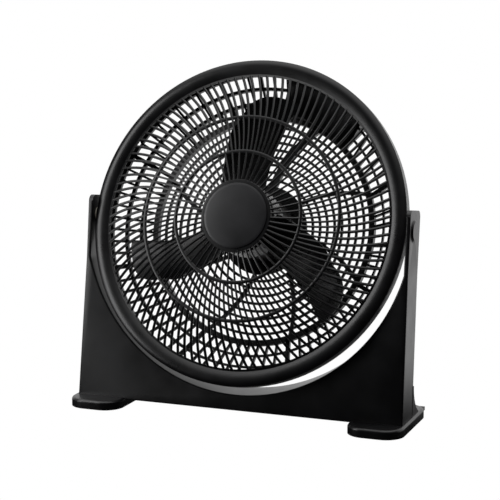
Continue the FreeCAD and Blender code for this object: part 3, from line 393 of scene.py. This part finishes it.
def rounded(shape: bmesh.types.BMesh, width: float, chosen: Callable[[Vector], bool], steps: int = 3) -> None:
    """Rounds the sharp edges of a shape.

    Args:
        shape: The bmesh, which is changed.
        width: How far the rounding reaches from the edge, in the shape's own unit.
        chosen: Says of a point whether an edge there is rounded.
        steps: The number of faces across the rounding.
    """
    sharp = math.radians(SHARP_DEGREES)
    round_profile = 0.5
    edges = [edge for edge in shape.edges if len(edge.link_faces) == 2 and edge.calc_face_angle(0.0) > sharp
             and all(chosen(corner.co) for corner in edge.verts)]
    bmesh.ops.bevel(shape, geom=edges, offset=width, offset_type="OFFSET", segments=steps,
                    profile=round_profile, affect="EDGES", clamp_overlap=False)


def lathe(profile: Sequence[SectionPoint], segments: int, closed: bool) -> bmesh.types.BMesh:
    """Turns a profile about the head's axis.

    Args:
        profile: Radius and depth of each point.
        segments: The number of steps around.
        closed: Whether the last point joins the first, as on a ring.

    Returns:
        A bmesh in millimetres about the pivot.
    """
    shape = bmesh.new()
    rows = []
    for radius, depth in profile:
        if radius == 0:
            rows.append([shape.verts.new((0, depth, 0))] * segments)
            continue
        turns = [math.tau * index / segments for index in range(segments)]
        rows.append([shape.verts.new((radius * math.cos(a), depth, radius * math.sin(a))) for a in turns])
    pairs = list(zip(rows, rows[1:] + rows[:1])) if closed else list(zip(rows, rows[1:]))
    for inner, outer in pairs:
        for index in range(segments):
            after = (index + 1) % segments
            corners = [inner[index], inner[after], outer[after], outer[index]]
            unique = list(dict.fromkeys(corners))
            if len(unique) > 2:
                shape.faces.new(unique)
    bmesh.ops.recalc_face_normals(shape, faces=shape.faces)
    return shape


def arc_through(first: SectionPoint, middle: SectionPoint, last: SectionPoint,
                steps: int) -> list[SectionPoint]:
    """Samples a smooth curve through three profile points.

    Args:
        first: Where it starts.
        middle: The point that it passes half way.
        last: Where it ends.
        steps: The number of pieces.

    Returns:
        The points, with both ends.
    """
    start, through, end = Vector(first), Vector(middle), Vector(last)
    pull = through * 2 - (start + end) / 2
    shares = [index / steps for index in range(steps + 1)]
    return [tuple(start * (1 - t) ** 2 + pull * 2 * t * (1 - t) + end * t * t) for t in shares]


def cuboid(half_sizes: tuple[float, float, float], place: Matrix) -> bmesh.types.BMesh:
    """Makes a box about the origin of a place.

    Args:
        half_sizes: How far it reaches each way along the three axes.
        place: The matrix that puts it in its place.

    Returns:
        The bmesh.
    """
    shape = bmesh.new()
    bmesh.ops.create_cube(shape, size=2.0)
    shape.transform(place @ Matrix.Diagonal((*half_sizes, 1.0)))
    return shape


class SocketKind(Enum):
    """The kinds of value that a tree of geometry nodes takes."""

    GEOMETRY = "NodeSocketGeometry"
    LENGTH = "NodeSocketFloat"
    COUNT = "NodeSocketInt"
    DIRECTION = "NodeSocketVector"
    OBJECT = "NodeSocketObject"
    MATERIAL = "NodeSocketMaterial"


class NodeTool:
    """A tree of geometry nodes with named inputs, used as a modifier and then turned into a plain mesh."""

    def __init__(self, name: str, inputs: dict[str, SocketKind]) -> None:
        """Starts the tree.

        Args:
            name: The tree's name.
            inputs: The name and kind of each input after the geometry.
        """
        self.tree = bpy.data.node_groups.new(name, "GeometryNodeTree")
        self.keys = {}
        for label, kind in {"Geometry": SocketKind.GEOMETRY, **inputs}.items():
            socket = self.tree.interface.new_socket(label, in_out="INPUT", socket_type=kind.value)
            self.keys[label] = socket.identifier
        self.tree.interface.new_socket("Geometry", in_out="OUTPUT", socket_type=SocketKind.GEOMETRY.value)
        self.given = add(self.tree, "NodeGroupInput")

    def given_socket(self, label: str) -> bpy.types.NodeSocket:
        """Gives the output of a named input."""
        return self.given.outputs[label]

    def end(self, parts: Sequence[bpy.types.NodeSocket]) -> None:
        """Joins the parts, makes instances real, sets the material and ends the tree.

        Args:
            parts: The outputs that hold the geometry.
        """
        gathered = add(self.tree, "GeometryNodeJoinGeometry")
        for part in parts:
            self.tree.links.new(part, gathered.inputs[0])
        real = add(self.tree, "GeometryNodeRealizeInstances", {0: gathered.outputs[0]})
        painted = add(self.tree, "GeometryNodeSetMaterial",
                      {"Geometry": real.outputs[0], "Material": self.given_socket("Material")})
        add(self.tree, "NodeGroupOutput", {0: painted.outputs[0]})

    def attach(self, thing: bpy.types.Object, values: dict[str, Any]) -> None:
        """Puts the tree on an object with its input values.

        Args:
            thing: The object that gets the modifier.
            values: A value for each named input.
        """
        modifier = thing.modifiers.new(self.tree.name, "NODES")
        modifier.node_group = self.tree
        for label, value in values.items():
            modifier[self.keys[label]] = value


def baked(thing: bpy.types.Object, place: Matrix) -> bpy.types.Mesh:
    """Turns an object with modifiers into a plain mesh in its place and removes the object.

    Args:
        thing: The object.
        place: The matrix that puts the mesh in the shared frame.

    Returns:
        The mesh.
    """
    bpy.context.view_layer.update()
    depsgraph = bpy.context.evaluated_depsgraph_get()
    source = thing.evaluated_get(depsgraph)
    mesh = bpy.data.meshes.new_from_object(source, depsgraph=depsgraph)
    thing.modifiers.clear()
    bpy.data.objects.remove(thing)
    mesh.transform(place)
    return mesh


def scene_object(name: str, data: bpy.types.ID) -> bpy.types.Object:
    """Links a mesh, text, camera or light into the scene as an object.

    Args:
        name: The object's name.
        data: What the object holds.

    Returns:
        The object, at the origin.
    """
    made = bpy.data.objects.new(name, data)
    bpy.context.scene.collection.objects.link(made)
    return made


@dataclass
class PanScrews:
    """Pan-head screws with a cross recess, set where the construction model has them."""

    head_radius: float = 3.8
    head_height: float = 2.4
    shank_radius: float = 1.75
    grip: float = 14.0
    recess_reach: float = 2.4
    recess_half_width: float = 0.5
    recess_depth: float = 1.3
    tip_length: float = 2.0
    tip_radius: float = 0.3
    # The crown's points are shares of the head's radius and height.
    crown_shares: tuple[tuple[float, float], ...] = ((0, 1), (0.42, 0.97), (0.72, 0.80), (0.92, 0.48),
                                                     (1, 0.14), (1, 0))
    turn_steps: int = 24
    recess_turn: float = 1.1

    def template(self) -> bpy.types.Object:
        """Makes one screw along the Y axis, its head towards +Y and its seat at the origin.

        Returns:
            A helper object with the screw's mesh, in millimetres.
        """
        head, high = self.head_radius, self.head_height
        crown = [(head * across, high * up) for across, up in self.crown_shares]
        shank = [(self.shank_radius, 0), (self.shank_radius, self.tip_length - self.grip),
                 (self.tip_radius, -self.grip), (0, -self.grip)]
        screw = scene_object("screw_blank", mesh_of(lathe(crown + shank, self.turn_steps, False)))
        cutters = []
        for turn in (0.0, math.pi / 2):
            spot = Matrix.Translation((0, high, 0)) @ Matrix.Rotation(turn, 4, "Y")
            arm = cuboid((self.recess_reach, self.recess_depth, self.recess_half_width), spot)
            cutters.append(scene_object("recess", mesh_of(arm)))
        for cutter in cutters:
            cut = screw.modifiers.new("recess", "BOOLEAN")
            cut.operation = "DIFFERENCE"
            cut.object = cutter
            cut.solver = "EXACT"
        made = scene_object("screw", baked(screw, Matrix.Identity(4)))
        for cutter in cutters:
            bpy.data.objects.remove(cutter)
        return made

    def tool(self) -> NodeTool:
        """Builds the tree that sets one screw at each point, each turned a little further.

        Returns:
            The tool, with the screw, its direction and the turn as inputs.
        """
        tool = NodeTool("screw_setter", {"Screw": SocketKind.OBJECT, "Direction": SocketKind.DIRECTION,
                                         "Turn": SocketKind.LENGTH, "Material": SocketKind.MATERIAL})
        tree, given = tool.tree, tool.given_socket
        screw = add(tree, "GeometryNodeObjectInfo", {"Object": given("Screw")})
        facing = add(tree, "FunctionNodeAlignRotationToVector", {"Vector": given("Direction")}, axis="Y")
        index = add(tree, "GeometryNodeInputIndex").outputs[0]
        angle = add(tree, "ShaderNodeMath", {0: index, 1: given("Turn")}, operation="MULTIPLY")
        turn = add(tree, "FunctionNodeAxisAngleToRotation", {"Axis": (0, 1, 0), "Angle": angle.outputs[0]})
        turned = add(tree, "FunctionNodeRotateRotation", {0: facing.outputs[0], 1: turn.outputs[0]},
                     rotation_space="LOCAL")
        points = add(tree, "GeometryNodeMeshToPoints", {0: given("Geometry")})
        screws = add(tree, "GeometryNodeInstanceOnPoints",
                     {"Points": points.outputs[0], "Instance": screw.outputs["Geometry"],
                      "Rotation": turned.outputs[0]})
        tool.end([screws.outputs[0]])
        return tool

    def seats(self, node: str, place: Matrix, direction: Vector) -> list[Vector]:
        """Finds the seats of the screws of one node.

        Args:
            node: The node that holds the screws.
            place: The frame that they are square to.
            direction: The way that their heads point in that frame.

        Returns:
            The middle of each seat, in millimetres in that frame.
        """
        shape = node_copy(node)
        shape.transform(place.inverted())
        waiting, found = set(shape.verts), []
        while waiting:
            group, edge = set(), [waiting.pop()]
            while edge:
                corner = edge.pop()
                group.add(corner)
                near = {link.other_vert(corner) for link in corner.link_edges} & waiting
                waiting -= near
                edge.extend(near)
            top = max(corner.co.dot(direction) for corner in group)
            low = Vector([min(corner.co[axis] for corner in group) for axis in range(3)])
            high = Vector([max(corner.co[axis] for corner in group) for axis in range(3)])
            middle = (low + high) / 2
            found.append(middle + direction * (top - self.head_height - middle.dot(direction)))
        shape.free()
        return sorted(found, key=lambda seat: tuple(round(value, 2) for value in seat))

    def build(self, shop: Workshop) -> None:
        """Makes each group of screws that shows.

        Args:
            shop: Where pieces are finished.
        """
        rear, down = Vector((0, 1, 0)), Vector((0, 0, -1))
        groups = [("stand_screws", Body.STAND, STAND_PLACE, rear),
                  ("guard_screws", Body.HEAD, HEAD_PLACE, rear),
                  ("control_screws", Body.HEAD, HEAD_PLACE, rear),
                  ("motor_cover_screws", Body.HEAD, HEAD_PLACE, rear),
                  ("foot_screws", Body.STAND, Matrix.Scale(MM, 4), down)]
        tool, screw = self.tool(), self.template()
        for node, body, place, direction in groups:
            mesh = bpy.data.meshes.new("seats")
            mesh.from_pydata(self.seats(node, place, direction), [], [])
            seats = scene_object("seats", mesh)
            tool.attach(seats, {"Screw": screw, "Direction": direction, "Turn": self.recess_turn,
                                "Material": shop.finishes["zinc_steel"]})
            shop.piece(node + "_cross_head", baked(seats, place), body, "zinc_steel", [node])
        bpy.data.objects.remove(screw)


@dataclass
class FrontGuard:
    """The domed front guard: curved ribs in three zones, two rings, a rounded rim and a bare middle disc."""

    seat_radius: float = 46.0
    inner_slot_radius: float = 49.5
    ring_radii: tuple[float, float] = (89.0, 139.0)
    ring_width: float = 5.0
    ring_points: int = 12
    ring_squareness: float = 0.6
    outer_slot_radius: float = 201.0
    opening_radius: float = 204.0
    edge_set: float = 10.4
    crest: tuple[float, float] = (215.0, 13.0)
    rim_radius: float = 223.95
    shoulder_set: float = 10.5
    seam_set: float = 9.0
    rim_wall: float = 2.6
    thickness: float = 3.0
    apex_set: float = 51.0
    sphere_radius: float = 532.8
    rib_sweep_degrees: float = 11.2
    rib_bend: float = 1.6
    rib_lap: float = 1.0
    rib_points: int = 9
    rib_sides: int = 8
    rib_counts: tuple[int, int, int] = (54, 108, 108)
    rib_widths: tuple[float, float, float] = (3.0, 3.0, 3.9)
    turn_steps: int = 216
    front_steps: int = 10
    rear_steps: int = 6
    seat_edge: float = 0.5
    cap_radius: float = 44.5
    cap_steps: int = 14
    cap_edge_height: float = 1.4
    cap_crown_height: float = 3.6
    cap_edge_round: float = 0.8
    # The middle of the cap's rounded edge, in shares of the rounding, inwards and back.
    cap_round_shares: tuple[float, float] = (0.3, 0.2)

    def dome_set(self, radius: float) -> float:
        """Gives how far the dome stands ahead of the pivot at a radius."""
        return self.apex_set - self.sphere_radius + math.sqrt(self.sphere_radius ** 2 - radius ** 2)

    def rib_tool(self) -> NodeTool:
        """Builds the tree that sweeps one rib over the dome and repeats it around.

        Returns:
            The tool, with the sizes of one zone as its inputs.
        """
        length, count = SocketKind.LENGTH, SocketKind.COUNT
        tool = NodeTool("guard_ribs", {"Start Radius": length, "End Radius": length, "Ribs": count,
                                       "Rib Width": length, "Rib Points": count, "Rib Sides": count,
                                       "Seat Radius": length, "Outer Radius": length, "Sweep": length,
                                       "Bend": length, "Sphere Radius": length, "Apex Set": length,
                                       "Thickness": length, "Material": SocketKind.MATERIAL})
        tree, given = tool.tree, tool.given_socket
        line = add(tree, "GeometryNodeCurvePrimitiveLine", {"Start": (0, 0, 0), "End": (1, 0, 0)})
        fine = add(tree, "GeometryNodeResampleCurve",
                   {"Curve": line.outputs[0], "Count": given("Rib Points")})
        along = add(tree, "ShaderNodeSeparateXYZ", {0: add(tree, "GeometryNodeInputPosition").outputs[0]})
        known = {label: given(label) for label in tool.keys}
        known["along"] = along.outputs["X"]
        known["index"] = add(tree, "GeometryNodeInputIndex").outputs[0]
        half = 0.5
        # Each row names a result, then the operation and the terms that give it.
        rows = [
            ("span", "SUBTRACT", "End Radius", "Start Radius"),
            ("radius", "MULTIPLY_ADD", "along", "span", "Start Radius"),
            ("past seat", "SUBTRACT", "radius", "Seat Radius"),
            ("reach", "SUBTRACT", "Outer Radius", "Seat Radius"),
            ("straight share", "DIVIDE", "past seat", "reach"),
            ("bent share", "POWER", "straight share", "Bend"),
            ("angle", "MULTIPLY", "bent share", "Sweep"),
            ("cosine", "COSINE", "angle"),
            ("sine", "SINE", "angle"),
            ("across", "MULTIPLY", "radius", "cosine"),
            ("upward", "MULTIPLY", "radius", "sine"),
            ("sphere square", "MULTIPLY", "Sphere Radius", "Sphere Radius"),
            ("radius square", "MULTIPLY", "radius", "radius"),
            ("height square", "SUBTRACT", "sphere square", "radius square"),
            ("height", "SQRT", "height square"),
            ("fall", "SUBTRACT", "Sphere Radius", "height"),
            ("surface", "SUBTRACT", "fall", "Apex Set"),
            ("depth", "MULTIPLY_ADD", "Thickness", half, "surface"),
            ("half width", "MULTIPLY", "Rib Width", half),
            ("step", "DIVIDE", math.tau, "Ribs"),
            ("turn", "MULTIPLY", "index", "step"),
        ]
        for result, operation, *terms in rows:
            values = {number: known.get(term, term) for number, term in enumerate(terms)}
            known[result] = add(tree, "ShaderNodeMath", values, operation=operation).outputs[0]
        spot = add(tree, "ShaderNodeCombineXYZ",
                   {"X": known["across"], "Y": known["depth"], "Z": known["upward"]})
        bent = add(tree, "GeometryNodeSetPosition",
                   {"Geometry": fine.outputs[0], "Position": spot.outputs[0]})
        section = add(tree, "GeometryNodeCurvePrimitiveCircle",
                      {"Resolution": given("Rib Sides"), "Radius": known["half width"]})
        rib = add(tree, "GeometryNodeCurveToMesh",
                  {"Curve": bent.outputs[0], "Profile Curve": section.outputs[0], "Fill Caps": True})
        posts = add(tree, "GeometryNodePoints", {"Count": given("Ribs")})
        facing = add(tree, "ShaderNodeCombineXYZ", {"Y": known["turn"]})
        ribs = add(tree, "GeometryNodeInstanceOnPoints",
                   {"Points": posts.outputs[0], "Instance": rib.outputs[0], "Rotation": facing.outputs[0]})
        tool.end([given("Geometry"), ribs.outputs[0]])
        return tool

    def ring_profile(self, radius: float) -> list[SectionPoint]:
        """Gives the rounded section of one ring.

        Args:
            radius: The ring's middle radius.

        Returns:
            The points of its section.
        """
        middle = self.thickness / 2 - self.dome_set(radius)
        across, through = self.ring_width / 2, self.thickness / 2
        turns = [math.tau * index / self.ring_points for index in range(self.ring_points)]
        power = self.ring_squareness
        points = []
        for turn in turns:
            side, front = math.cos(turn), math.sin(turn)
            points.append((radius + across * math.copysign(abs(side) ** power, side),
                           middle + through * math.copysign(abs(front) ** power, front)))
        return points

    def rim_profile(self) -> list[SectionPoint]:
        """Gives the section of the rim, from the ends of the ribs over its crest to the seam.

        Returns:
            The points of its section.
        """
        crest_radius, crest_set = self.crest
        wall, inner = self.thickness, self.outer_slot_radius
        start = (inner, -self.dome_set(inner))
        groove = (self.opening_radius, -self.edge_set)
        shoulder = (self.rim_radius, -self.shoulder_set)
        front = arc_through(groove, (crest_radius, -crest_set), shoulder, self.front_steps)
        skirt = self.rim_radius - self.rim_wall
        rear = arc_through((skirt, -self.seam_set), (crest_radius, wall - crest_set),
                           (self.opening_radius, wall - self.edge_set), self.rear_steps)
        seam = (self.rim_radius, -self.seam_set)
        end = (inner, wall - self.dome_set(inner))
        return [start] + front + [seam] + rear + [end]

    def seat_profile(self) -> list[SectionPoint]:
        """Gives the section of the plate that carries the middle disc.

        Returns:
            The points from the middle of its front to the middle of its back.
        """
        front, edge = -self.dome_set(self.seat_radius), self.inner_slot_radius
        outer = -self.dome_set(edge)
        soft = self.seat_edge
        return [(0, front), (self.seat_radius, front), (edge - soft, outer), (edge, outer + soft),
                (edge, outer + self.thickness), (0, outer + self.thickness)]

    def build(self, shop: Workshop) -> None:
        """Makes the guard and its middle disc.

        Args:
            shop: Where pieces are finished.
        """
        whole = bmesh.new()
        rings = [(self.ring_profile(radius), True) for radius in self.ring_radii]
        for profile, closed in rings + [(self.rim_profile(), True), (self.seat_profile(), False)]:
            part = mesh_of(lathe(profile, self.turn_steps, closed))
            whole.from_mesh(part)
            bpy.data.meshes.remove(part)
        guard = scene_object("guard_blank", mesh_of(whole))
        tool = self.rib_tool()
        first, second = self.ring_radii
        ends = [(self.seat_radius, first), (first, second), (second, self.outer_slot_radius)]
        shared = {"Rib Points": self.rib_points, "Rib Sides": self.rib_sides,
                  "Seat Radius": self.seat_radius, "Outer Radius": self.outer_slot_radius,
                  "Sweep": math.radians(self.rib_sweep_degrees), "Bend": self.rib_bend,
                  "Sphere Radius": self.sphere_radius, "Apex Set": self.apex_set,
                  "Thickness": self.thickness, "Material": shop.finishes["guard_plastic"]}
        for (start, stop), ribs, width in zip(ends, self.rib_counts, self.rib_widths):
            tool.attach(guard, {"Start Radius": start + self.rib_lap, "End Radius": stop + self.rib_lap,
                                "Ribs": ribs, "Rib Width": width, **shared})
        mesh = baked(guard, HEAD_PLACE)
        shop.piece("front_guard_moulding", mesh, Body.HEAD, "guard_plastic", ["front_guard"])
        self.build_cap(shop)

    def build_cap(self, shop: Workshop) -> None:
        """Makes the bare crowned disc at the middle of the guard.

        Args:
            shop: Where pieces are finished.
        """
        seat, soft = -self.dome_set(self.seat_radius), self.cap_edge_round
        edge, crown = seat - self.cap_edge_height, seat - self.cap_crown_height
        rise = edge - crown
        face = []
        for index in range(self.cap_steps + 1):
            radius = (self.cap_radius - soft) * index / self.cap_steps
            face.append((radius, crown + rise * (radius / self.cap_radius) ** 2))
        radius = self.cap_radius
        inwards, back = self.cap_round_shares
        side = [(radius - soft * inwards, edge + soft * back), (radius, edge + soft), (radius, seat),
                (0, seat)]
        mesh = mesh_of(lathe(face + side, self.turn_steps // 2, False), HEAD_PLACE)
        shop.piece("guard_middle_disc", mesh, Body.HEAD, "cap_plastic", ["guard_cap"])


@dataclass
class Stand:
    """The leaning stand with its feet, softened at the edges of its front."""

    moulded: tuple[str, ...] = ("stand_rear_shell", "left_foot", "right_foot", "left_pivot_cover",
                                "right_pivot_cover")
    front_depth: float = -20.0
    depth_slack: float = 0.05
    edge_round: float = 2.2
    edge_steps: int = 4

    def build(self, shop: Workshop) -> None:
        """Makes the shells, feet and pivot covers.

        Args:
            shop: Where pieces are finished.
        """
        back_to_stand = STAND_PLACE.inverted()

        def on_front(point: Vector) -> bool:
            """Says whether a point lies in the plane of the stand's front."""
            return abs((back_to_stand @ point).y - self.front_depth) < self.depth_slack

        shell = node_copy("stand_front_shell")
        rounded(shell, self.edge_round * MM, on_front, self.edge_steps)
        shop.piece("stand_front_moulding", mesh_of(shell), Body.STAND, "black_plastic", ["stand_front_shell"])
        for name in self.moulded:
            mesh = mesh_of(node_copy(name))
            shop.piece(name + "_moulding", mesh, Body.STAND, "black_plastic", [name])


@dataclass
class Housing:
    """The rear half of the head with its control box, knob and covers."""

    moulded: tuple[str, ...] = ("rear_housing", "wire_channel_cover", "control_cover", "motor_cover",
                                "cord_gland")
    knob_circle: float = 188.0
    knob_degrees: float = 65.0
    knob_smooth_degrees: float = 20.0
    cover_depth: float = 65.5
    speeds: int = 4
    speed_step_degrees: float = 45.0
    figure_circle: float = 19.4
    figure_height: float = 5.4
    figure_proud: float = 0.06
    figure_smoothness: int = 4
    pointer_depth: float = 79.7
    pointer_reach: tuple[float, float] = (5.5, 12.0)
    pointer_half_width: float = 0.6

    def build(self, shop: Workshop) -> None:
        """Makes the housing, its covers, the knob and the marks.

        Args:
            shop: Where pieces are finished.
        """
        for name in self.moulded:
            shop.piece(name + "_moulding", mesh_of(node_copy(name)), Body.HEAD, shop.node_slot[name], [name])
        knob = mesh_of(node_copy("speed_knob"))
        shop.piece("speed_knob_moulding", knob, Body.KNOB, "knob_plastic", ["speed_knob"],
                   self.knob_smooth_degrees)
        self.build_figures(shop)
        self.build_pointer(shop)

    def dial_place(self, degrees: float, reach: float, depth: float) -> Vector:
        """Gives a point about the knob's axis.

        Args:
            degrees: The angle seen from the front.
            reach: The distance from the knob's axis.
            depth: The distance behind the pivot.

        Returns:
            The point, in millimetres about the pivot.
        """
        centre, turn = math.radians(self.knob_degrees), math.radians(degrees)
        across = self.knob_circle * math.cos(centre) + reach * math.cos(turn)
        return Vector((across, depth, self.knob_circle * math.sin(centre) + reach * math.sin(turn)))

    def build_figures(self, shop: Workshop) -> None:
        """Prints the speed figures around the knob, upright for someone who stands behind.

        Args:
            shop: Where pieces are finished.
        """
        whole = bmesh.new()
        # A figure's own right, up and front turn to the viewer's right, to up and to the rear.
        facing = Matrix(((-1, 0, 0), (0, 0, 1), (0, 1, 0))).to_4x4()
        for speed in range(self.speeds):
            words = bpy.data.curves.new("figure", "FONT")
            words.body = str(speed)
            words.size = self.figure_height
            words.align_x, words.align_y = "CENTER", "CENTER"
            words.extrude = self.figure_proud
            words.resolution_u = self.figure_smoothness
            degrees = self.knob_degrees + speed * self.speed_step_degrees
            spot = Matrix.Translation(self.dial_place(degrees, self.figure_circle, self.cover_depth))
            figure = baked(scene_object("figure", words), spot @ facing)
            whole.from_mesh(figure)
            bpy.data.meshes.remove(figure)
        shop.piece("speed_figures", mesh_of(whole, HEAD_PLACE), Body.HEAD, "switch_plastic")

    def build_pointer(self, shop: Workshop) -> None:
        """Fills the white line at the end of the knob's grip.

        Args:
            shop: Where pieces are finished.
        """
        inner, outer = self.pointer_reach
        spot = Matrix.Translation(self.dial_place(self.knob_degrees, (inner + outer) / 2, self.pointer_depth))
        turn = Matrix.Rotation(-math.radians(self.knob_degrees), 4, "Y")
        half_sizes = ((outer - inner) / 2, self.figure_proud, self.pointer_half_width)
        shape = cuboid(half_sizes, spot @ turn)
        rounded(shape, self.figure_proud / 2, lambda point: True, 1)
        shop.piece("knob_pointer_line", mesh_of(shape, HEAD_PLACE), Body.KNOB, "switch_plastic")


@dataclass
class Wheel:
    """The blade wheel and its nut."""

    moulded: tuple[str, ...] = ("fan_wheel", "blade_nut")

    def build(self, shop: Workshop) -> None:
        """Makes the wheel and nut as smooth mouldings."""
        for name in self.moulded:
            shop.piece(name + "_moulding", mesh_of(node_copy(name)), Body.ROTOR, shop.node_slot[name], [name])


@dataclass
class Studio:
    """The pale floor, soft light and camera."""

    azimuth_degrees: float = 21.2
    elevation_degrees: float = 8.5
    distance: float = 2.101
    target: tuple[float, float, float] = (0.0, -0.02426, 0.250)
    lens: float = 111.4
    sensor: float = 36.0
    shift: tuple[float, float] = (0.0038, -0.0398)
    white: str = "#ffffff"
    floor_half: float = 30.0
    floor_glow: tuple[float, float] = (0.008, 1.0)
    floor_turn: tuple[float, float] = (-0.05, 0.45)
    rear_light: tuple[float, float] = (0.004, 1.0)
    rear_turn: tuple[float, float] = (0.0, 0.45)
    above_light: tuple[float, float] = (0.0, 1.8)
    above_turn: tuple[float, float] = (0.55, 0.98)
    softbox_azimuth: float = -52.0
    softbox_elevation: float = 14.0
    softbox_distance: float = 0.9
    softbox_size: tuple[float, float] = (0.35, 0.9)
    softbox_power: float = 4.2

    def direction(self, azimuth: float, elevation: float) -> Vector:
        """Gives the unit vector from the middle of the scene towards a place around it.

        Args:
            azimuth: Degrees round from the front, towards the right.
            elevation: Degrees above the floor.

        Returns:
            The direction.
        """
        turn, rise = math.radians(azimuth), math.radians(elevation)
        return Vector((math.sin(turn) * math.cos(rise), -math.cos(turn) * math.cos(rise), math.sin(rise)))

    def change(self, value: bpy.types.NodeSocket, turn: tuple[float, float],
               light: tuple[float, float]) -> dict[str, Any]:
        """Gives what a node needs to change from one brightness to another.

        Args:
            value: The output that the brightness follows.
            turn: The values at which the change begins and ends.
            light: The brightness before and after it.

        Returns:
            The inputs of the node that maps the value.
        """
        (begin, finish), (before, after) = turn, light
        return {"Value": value, "From Min": begin, "From Max": finish, "To Min": before, "To Max": after}

    def build_camera(self) -> None:
        """Sets the camera where the picture was taken from."""
        data = bpy.data.cameras.new("picture_camera")
        data.sensor_fit = "HORIZONTAL"
        data.sensor_width = self.sensor
        data.lens = self.lens
        data.shift_x, data.shift_y = self.shift
        camera = scene_object("picture_camera", data)
        away = self.direction(self.azimuth_degrees, self.elevation_degrees)
        camera.location = Vector(self.target) + away * self.distance
        camera.rotation_euler = (-away).to_track_quat("-Z", "Y").to_euler()
        bpy.context.scene.camera = camera

    def build_floor(self) -> None:
        """Lays the pale floor, bright enough to read as seamless paper."""
        shape = bmesh.new()
        bmesh.ops.create_grid(shape, x_segments=1, y_segments=1, size=self.floor_half)
        floor = scene_object("paper_floor", mesh_of(shape))
        paper = bpy.data.materials.new("white_paper")
        paper.use_nodes = True
        tree = paper.node_tree
        tree.nodes.clear()
        # Straight on it is plain white. The black surfaces mirror it dim in front of the fan and
        # bright behind it.
        straight = add(tree, "ShaderNodeLightPath").outputs["Is Camera Ray"]
        place = add(tree, "ShaderNodeSeparateXYZ", {0: add(tree, "ShaderNodeTexCoord").outputs["Object"]})
        dimmed = self.change(place.outputs["Y"], self.floor_turn, self.floor_glow)
        mirrored = add(tree, "ShaderNodeMapRange", dimmed, interpolation_type="SMOOTHSTEP")
        level = add(tree, "ShaderNodeMath", {0: straight, 1: mirrored.outputs[0]}, operation="MAXIMUM")
        glow = add(tree, "ShaderNodeEmission", {"Color": linear(self.white), "Strength": level.outputs[0]})
        add(tree, "ShaderNodeOutputMaterial", {"Surface": glow.outputs[0]})
        floor.data.materials.append(paper)

    def build_surroundings(self) -> None:
        """Makes a studio that the black surfaces mirror bright behind and above, and dark in front."""
        world = bpy.data.worlds.new("studio")
        bpy.context.scene.world = world
        world.use_nodes = True
        tree = world.node_tree
        tree.nodes.clear()
        way = add(tree, "ShaderNodeSeparateXYZ", {0: add(tree, "ShaderNodeTexCoord").outputs["Generated"]})
        sides = [self.change(way.outputs["Y"], self.rear_turn, self.rear_light),
                 self.change(way.outputs["Z"], self.above_turn, self.above_light)]
        rear, above = [add(tree, "ShaderNodeMapRange", side, interpolation_type="SMOOTHSTEP")
                       for side in sides]
        level = add(tree, "ShaderNodeMath", {0: rear.outputs[0], 1: above.outputs[0]}, operation="MAXIMUM")
        lit = add(tree, "ShaderNodeBackground", {"Color": linear(self.white), "Strength": level.outputs[0]})
        seen = add(tree, "ShaderNodeBackground", {"Color": linear(self.white), "Strength": 1.0})
        straight = add(tree, "ShaderNodeLightPath").outputs["Is Camera Ray"]
        mixed = add(tree, "ShaderNodeMixShader", {0: straight, 1: lit.outputs[0], 2: seen.outputs[0]})
        add(tree, "ShaderNodeOutputWorld", {"Surface": mixed.outputs[0]})
        bpy.context.scene.view_settings.view_transform = "Standard"

    def build_softbox(self) -> None:
        """Hangs one soft rectangular light at the left that faces the object."""
        data = bpy.data.lights.new("left_softbox", "AREA")
        data.shape = "RECTANGLE"
        data.size, data.size_y = self.softbox_size
        data.energy = self.softbox_power
        light = scene_object("left_softbox", data)
        away = self.direction(self.softbox_azimuth, self.softbox_elevation)
        light.location = Vector(self.target) + away * self.softbox_distance
        light.rotation_euler = (-away).to_track_quat("-Z", "Y").to_euler()
        light.visible_camera = False

    def build(self) -> None:
        """Sets up the camera, floor, surroundings and light."""
        self.build_camera()
        self.build_floor()
        self.build_surroundings()
        self.build_softbox()
        log.info("studio: camera at %.1f degrees", self.azimuth_degrees)


def main() -> None:
    """Builds the fan's pieces and its studio in order."""
    logging.basicConfig(level=logging.INFO, format="%(message)s")
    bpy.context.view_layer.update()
    shop = Workshop(Finishes())
    shop.dress_nodes()
    Stand().build(shop)
    FrontGuard().build(shop)
    Housing().build(shop)
    PanScrews().build(shop)
    Wheel().build(shop)
    Studio().build()


if __name__ == "__main__":
    main()
